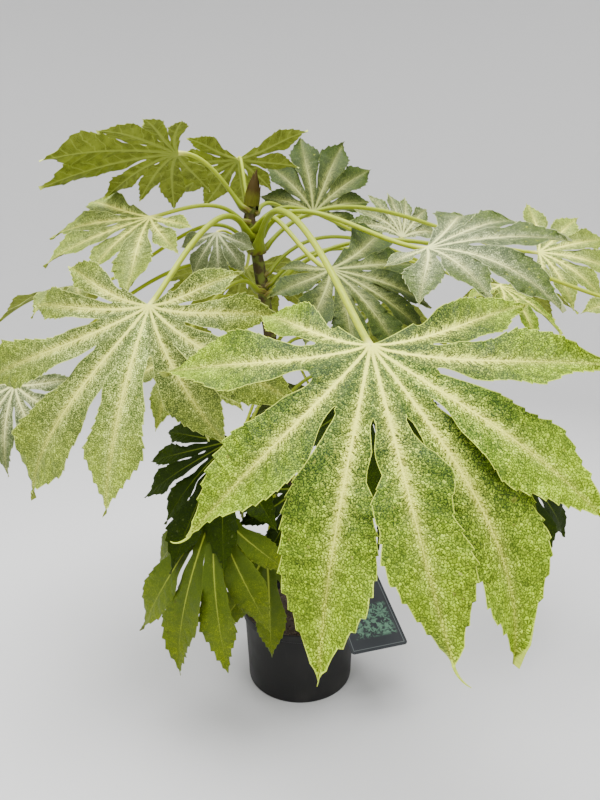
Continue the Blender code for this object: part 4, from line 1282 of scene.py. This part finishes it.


# Finishes: the dark between the granules, then the granules between the ribs, at the tips, near the middle
# and by the ribs, the main ribs and the underside, whose olive is lightened and yellowed with painted light
# shining through the leaf; then how far and how strongly a rib is feathered, and the size of the net's cells
# where they aren't the usual one.
TINTS = ("deep", "cell", "tip", "bloom", "web", "rib", "back", "reach", "feather", "net")
FINISHES = {
    "webbed": (
        (0.011, 0.031, 0.003), (0.195, 0.310, 0.015), (0.380, 0.560, 0.006), (0.150, 0.225, 0.048),
        (0.70, 0.84, 0.09), (0.86, 0.88, 0.11), (0.180, 0.218, 0.020), 0.0034, 0.85,
    ),
    "frosted": (
        (0.018, 0.042, 0.006), (0.390, 0.475, 0.085), (0.410, 0.520, 0.045), (0.420, 0.480, 0.160),
        (0.70, 0.80, 0.18), (0.86, 0.88, 0.15), (0.180, 0.218, 0.020), 0.0040, 0.80,
    ),
    "pale": (
        (0.022, 0.038, 0.010), (0.155, 0.208, 0.060), (0.125, 0.185, 0.020), (0.285, 0.340, 0.160),
        (0.56, 0.62, 0.28), (0.70, 0.72, 0.27), (0.180, 0.218, 0.020), 0.0040, 0.55, 0.0034,
    ),
    # Next: a darker copy of the webbed finish for two leaves, painted with the shade that they sit in.
    "in_painted_shade": (
        (0.010, 0.022, 0.002), (0.036, 0.062, 0.004), (0.050, 0.088, 0.003), (0.060, 0.088, 0.013),
        (0.150, 0.185, 0.040), (0.34, 0.37, 0.100), (0.150, 0.175, 0.014), 0.0052, 0.50,
    ),
    "young": (
        (0.050, 0.070, 0.024), (0.250, 0.290, 0.120), (0.220, 0.260, 0.090), (0.290, 0.330, 0.160),
        (0.42, 0.47, 0.22), (0.54, 0.57, 0.27), (0.120, 0.140, 0.020), 0.0022, 0.40,
    ),
    "dark": (
        (0.007, 0.015, 0.0008), (0.014, 0.030, 0.0010), (0.034, 0.060, 0.0012), (0.014, 0.028, 0.002),
        (0.034, 0.058, 0.003), (0.095, 0.130, 0.010), (0.040, 0.056, 0.005), 0.0008, 0.30,
    ),
    "plain": (
        (0.050, 0.082, 0.003), (0.085, 0.125, 0.003), (0.200, 0.255, 0.003), (0.040, 0.072, 0.004),
        (0.130, 0.175, 0.008), (0.300, 0.350, 0.030), (0.080, 0.098, 0.007), 0.0010, 0.30,
    ),
}
WEB_CELL = 0.0022
NET_SHAKE = 0.0036
LEAF_VEIN_GAP = 0.0165
STALK_PALE = (0.42, 0.48, 0.06)
STALK_LOW = (0.150, 0.192, 0.008)
STALK_HIGH = (0.370, 0.430, 0.022)
STALK_STREAK = (0.215, 0.290, 0.012)
STALK_CREAM = (0.84, 0.80, 0.20)
STALK_BROWN = (0.090, 0.060, 0.014)


def leaf_marks(tree):
    """The leaf's own coordinates: flat place, along, across and margin distance, share, seed and tone."""
    flat, own, spot = (node(tree, "Attribute", "Vector", attribute_name=name) for name in LEAF_MARKS)
    return (flat, *parts(own), *parts(spot))


def scaled(colour, share):
    """A colour made darker or lighter, or a step made longer or shorter."""
    return node(colour.tree, "VectorMath", 0, {0: colour, "Scale": share}, operation="SCALE")


def side_veins(slant, aside, patches):
    """How far from the nearest side vein, in spacings; the veins of a lobe's two halves alternate."""
    count = slant / LEAF_VEIN_GAP + patches * 0.9
    return maths("PINGPONG", count + (aside > 0.0) * 0.5, 0.5)


def net(place, size, output, **settings):
    """Cells of the net of fine veins: the distance to the nearest vein, or a colour for each cell."""
    values = {"Vector": place, "Scale": 1 / size}
    return node(place.tree, "TexVoronoi", output, values, voronoi_dimensions="2D", **settings)


def leaf_upper(name, tints):
    """Upper face: a pale granule in every cell between fine dark veins, creamiest by the feathered ribs."""
    made, shader = paint(name + " leaf", tints["cell"], 0.5, 0.05 if name == "dark" else 0.13)
    flat, out, aside, margin, u, seed, tone = leaf_marks(made.node_tree)
    off, left = abs(aside), 1.0 - u
    slant = out - off * 0.8
    patches = grain(flat, 55.0, 3.0)
    # Nearness to the rib, the side veins, and the net with its sides shaken.
    width = ramp(u, 0.04, 0.36, 0.35, 1.0) * ramp(left, 0.0, 0.55, 0.35, 1.0) * tints["reach"]
    near = 2.718 ** (off / width * -1.0)
    vein = ramp(side_veins(slant, aside, patches), 0.010, 0.060, 1.0, 0.0)
    wobble = node(flat.tree, "TexNoise", "Color", {"Vector": flat, "Scale": 500.0, "Detail": 2.0})
    shaken = node(flat.tree, "VectorMath", 0, {0: flat, 1: scaled(wobble, NET_SHAKE)}, operation="ADD")
    size = tints.get("net", WEB_CELL)
    edge = net(shaken, size, "Distance", feature="DISTANCE_TO_EDGE")
    red, green, _ = parts(net(shaken, size, "Color"))
    # Colour of the granules and of the cream.
    outer = ramp(patches * 0.3 + u, 0.50, 1.05)
    bloom = ramp(u, 0.14, 0.62, 0.9, 0.0) * ramp(patches, 0.30, 0.65, 0.5, 1.0)
    light = blend(bloom, blend(outer, tints["cell"], tints["tip"]), tints["bloom"])
    cream = blend(ramp(near, 0.10, 0.60), tints["web"], tints["rib"])
    cream = blend(outer * 0.55, cream, tints["tip"])
    share = ramp(near ** 0.27, 0.15, 0.85) + vein * 0.15 + (patches * 0.40 - 0.20) + (green * 0.60 - 0.26)
    light = blend(share, light, cream)
    # The dark between them, and how light this lobe is.
    grit = ramp(edge, 0.04, 0.24) * (red * 0.75 + 0.25) * (ramp(patches, 0.30, 0.70) * 0.35 + 0.65)
    colour = scaled(blend(outer * 0.14 + grit, tints["deep"], light), tone)
    # Feathered cream beside the rib, the rib itself and the pale margin.
    place = node(flat.tree, "CombineXYZ", 0, {0: slant * 520.0, 1: aside * 90.0, 2: seed})
    feather = ramp(grain(place, 1.0) * 3.0 + (near - 1.50), 0.20, 0.75)
    feather = feather * ramp(left, 0.15, 0.65, 0.05, tints["feather"])
    feather = feather * ramp(near, 0.08, 0.30) * ramp(edge, 0.03, 0.14, 0.62, 1.0)
    colour = blend(feather, colour, cream)
    rib = ramp(off / (left ** 1.6 * 0.0017 + 0.0002), 0.60, 1.30, 1.0, 0.0)
    colour = blend(rib * ramp(left, 0.15, 0.65, 0.12, 1.0), colour, tints["rib"])
    colour = blend(ramp(margin, 0.0003, 0.0008, 0.6, 0.0), colour, tints["web"])
    colour.into(shader, "Base Color")
    ramp(patches, 0.3, 0.7, 0.42, 0.56).into(shader, "Roughness")
    raise_by(shader, ramp(edge, 0.0, 0.35) - vein * 0.6, 0.0006, 0.35)
    return made


def leaf_under(name, tints):
    """Lower face: olive, matt, with the veins standing out paler."""
    # The olive is partly the underside's own colour and partly painted light shining through the leaf.
    made, shader = paint(name + " leaf back", tints["back"], 0.65, 0.08)
    flat, out, aside, _, u, _, _ = leaf_marks(made.node_tree)
    off = abs(aside)
    patches = grain(flat, 62.0, 3.0)
    edge = net(flat, WEB_CELL, "Distance", feature="DISTANCE_TO_EDGE")
    vein = ramp(side_veins(out - off * 0.8, aside, patches), 0.020, 0.075, 0.9, 0.0)
    web = maths("MAXIMUM", ramp(edge, 0.04, 0.20, 0.6, 0.0), vein)
    rib = 1.0 - ramp(off / ((1.0 - u) * 0.0018 + 0.0006), 0.6, 1.5)
    dull, light, pale, palest = (
        tuple(c * share + more for c in tints["back"])
        for share, more in ((0.50, 0), (1.22, 0), (1.5, 0.02), (1.7, 0.03))
    )
    colour = blend(web, blend(ramp(patches, 0.30, 0.70), dull, light), pale)
    blend(rib * 0.7, colour, palest).into(shader, "Base Color")
    raise_by(shader, 1.0 - ramp(edge, 0.0, 0.3), 0.0005, 0.3)
    return made


def petiole_finish():
    """Petioles: yellow-green, paler towards the blade, with faint lengthwise streaks and a brown foot."""
    made, shader = paint("petiole", STALK_PALE, 0.45, 0.15)
    flat, run, ahead, _, share, _, _ = leaf_marks(made.node_tree)
    streaks = grain(flat, 900.0, 3.0)
    colour = blend(ramp(share, 0.0, 0.85), STALK_LOW, STALK_HIGH)
    colour = blend(ramp(streaks, 0.35, 0.70, 0.0, 0.5), colour, STALK_STREAK)
    colour = blend(ramp(ahead, 0.0, 0.020, 0.85, 0.0), colour, STALK_CREAM)
    foot = ramp(run, 0.004, 0.018, 1.0, 0.0) * ramp(streaks, 0.40, 0.60, 0.25, 1.0)
    blend(foot, colour, STALK_BROWN).into(shader, "Base Color")
    raise_by(shader, streaks, 0.0003, 0.25)
    return made


tints = {kind: dict(zip(TINTS, row)) for kind, row in FINISHES.items()}
upper_finish = {kind: leaf_upper(kind, tints[kind]) for kind in FINISHES}
under_finish = {kind: leaf_under(kind, tints[kind]) for kind in FINISHES}
stalk_finish = petiole_finish()
for row in LEAVES:
    piece, kind = row[:2]
    leaf = show(piece + "_grown", leaf_mesh(row))
    for finish in (upper_finish[kind], under_finish[kind], stalk_finish):
        leaf.data.materials.append(finish)
    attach(leaf, "root")
    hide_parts(piece)


# Label: a stiff slate-coloured plastic card on a strap, whose loop is slipped round the foot of the stem.
# The card lies over the pot's rim; its face has a plain border and a soft mottled green panel.
CARD_WIDTH = 0.082
CARD_LENGTH = 0.130
CARD_THICK = 0.0008
CARD_CORNER = 0.005
CARD_FOOT = (0.0700, -0.1050, 0.0965)
CARD_ACROSS = (0.970, 0.240, 0.050)
CARD_UP = (-0.250, 0.900, 0.360)
STRAP_WIDTH = 0.010
LOOP_HOLE = 0.0125
LOOP_WIDTH = 0.005
LOOP_STEPS = 60
CARD_BEVEL = 0.00015
BORDER_INSETS = (0.0040, 0.0047)
BORDER_SOFT = 0.0004
PANEL_INSET = 0.0120
PANEL_LOW = 0.0180
PANEL_HIGH = 0.0700
PANEL_SOFT = 0.006
SLATE = (0.014, 0.017, 0.021)
PANEL_GREEN = (0.085, 0.190, 0.120)
BORDER_GREY = (0.16, 0.18, 0.18)
SCUFF_GREY = (0.16, 0.16, 0.16)


def card_axes():
    """Directions across the card, up it, and out of its face."""
    across = Vector(CARD_ACROSS).normalized()
    up = Vector(CARD_UP)
    up = (up - across * up.dot(across)).normalized()
    return across, up, across.cross(up)


def loop_middle():
    """Where the stem's axis crosses the card's plane, moved until the loop bears on the stem."""
    across, up, face = card_axes()
    foot = Vector(CARD_FOOT)
    height = foot.z
    for _ in range(4):
        middle, radius, _ = stem_at(height)
        height = foot.z - ((middle - foot).xy.dot(face.xy)) / face.z
    middle = Vector((middle.x, middle.y, height))
    return (middle - foot).dot(across) + LOOP_HOLE - radius - GAP, (middle - foot).dot(up)


def card_outline(middle):
    """Card, strap and loop in the card's own plane, from the lower left corner."""
    loop = LOOP_HOLE + LOOP_WIDTH
    half = STRAP_WIDTH / 2
    left = low = CARD_CORNER
    right, top = CARD_WIDTH - CARD_CORNER, CARD_LENGTH - CARD_CORNER
    points = []
    for x, y, turn in ((left, low, 180), (right, low, 270), (right, top, 0), (left, top, 90)):
        for step in range(0, 91, 10):
            angle = math.radians(turn + step)
            points.append((x + CARD_CORNER * math.cos(angle), y + CARD_CORNER * math.sin(angle)))
    points.append((0.0, middle[1] + half))
    spread = math.degrees(math.asin(half / loop))
    for step in range(LOOP_STEPS + 1):
        angle = math.radians(spread + (360 - 2 * spread) * step / LOOP_STEPS)
        points.append((middle[0] + loop * math.cos(angle), middle[1] + loop * math.sin(angle)))
    points.append((0.0, middle[1] - half))
    return points


def card_finish():
    """Slate plastic, with a pale border line and a mottled panel, in the card's own coordinates."""
    made, shader = paint("label card", SLATE, 0.42, 0.3)
    place = own_place(made)
    x, y, z = parts(place)
    front = z > 0.0

    def inside(inset, low, high, soft):
        """A patch of the card, from its side insets and its lower and upper edges."""
        share = ramp(x, inset, inset + soft)
        share = share * ramp(x, CARD_WIDTH - inset, CARD_WIDTH - inset + soft, 1.0, 0.0)
        return share * ramp(y, low, low + soft) * ramp(y, high, high + soft, 1.0, 0.0)

    outer, inner = (inside(inset, inset, CARD_LENGTH - inset, BORDER_SOFT) for inset in BORDER_INSETS)
    panel = inside(PANEL_INSET, PANEL_LOW, PANEL_HIGH, PANEL_SOFT) * front
    leafy = grain(place, 150.0, 4.0, Distortion=1.2)
    scuffs = grain(place, 700.0, 3.0)
    colour = blend(panel * ramp(leafy, 0.42, 0.60), SLATE, PANEL_GREEN)
    colour = blend((outer - inner) * front * 0.7, colour, BORDER_GREY)
    blend(ramp(scuffs, 0.62, 0.80, 0.0, 0.10), colour, SCUFF_GREY).into(shader, "Base Color")
    ramp(scuffs, 0.3, 0.7, 0.32, 0.46).into(shader, "Roughness")
    return made


middle = loop_middle()
hole = [(middle[0] + x, middle[1] + y) for x, y in round_places(LOOP_HOLE, LOOP_STEPS)]
card = bpy.data.curves.new("label card", "CURVE")
card.dimensions = "2D"
card.fill_mode = "BOTH"
card.extrude = CARD_THICK / 2 - CARD_BEVEL
card.bevel_depth = CARD_BEVEL
card.offset = -CARD_BEVEL
card.bevel_resolution = 1
for outline in (card_outline(middle), hole):
    spline = card.splines.new("POLY")
    spline.points.add(len(outline) - 1)
    spline.use_cyclic_u = True
    for control, point in zip(spline.points, outline):
        control.co = (*point, 0.0, 1.0)
label = show("plant_label", card)
card.materials.append(card_finish())
across, up, face = card_axes()
label.matrix_world = Matrix.Translation(Vector(CARD_FOOT)) @ Matrix((across, up, face)).transposed().to_4x4()
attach(label, "root")
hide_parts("label")
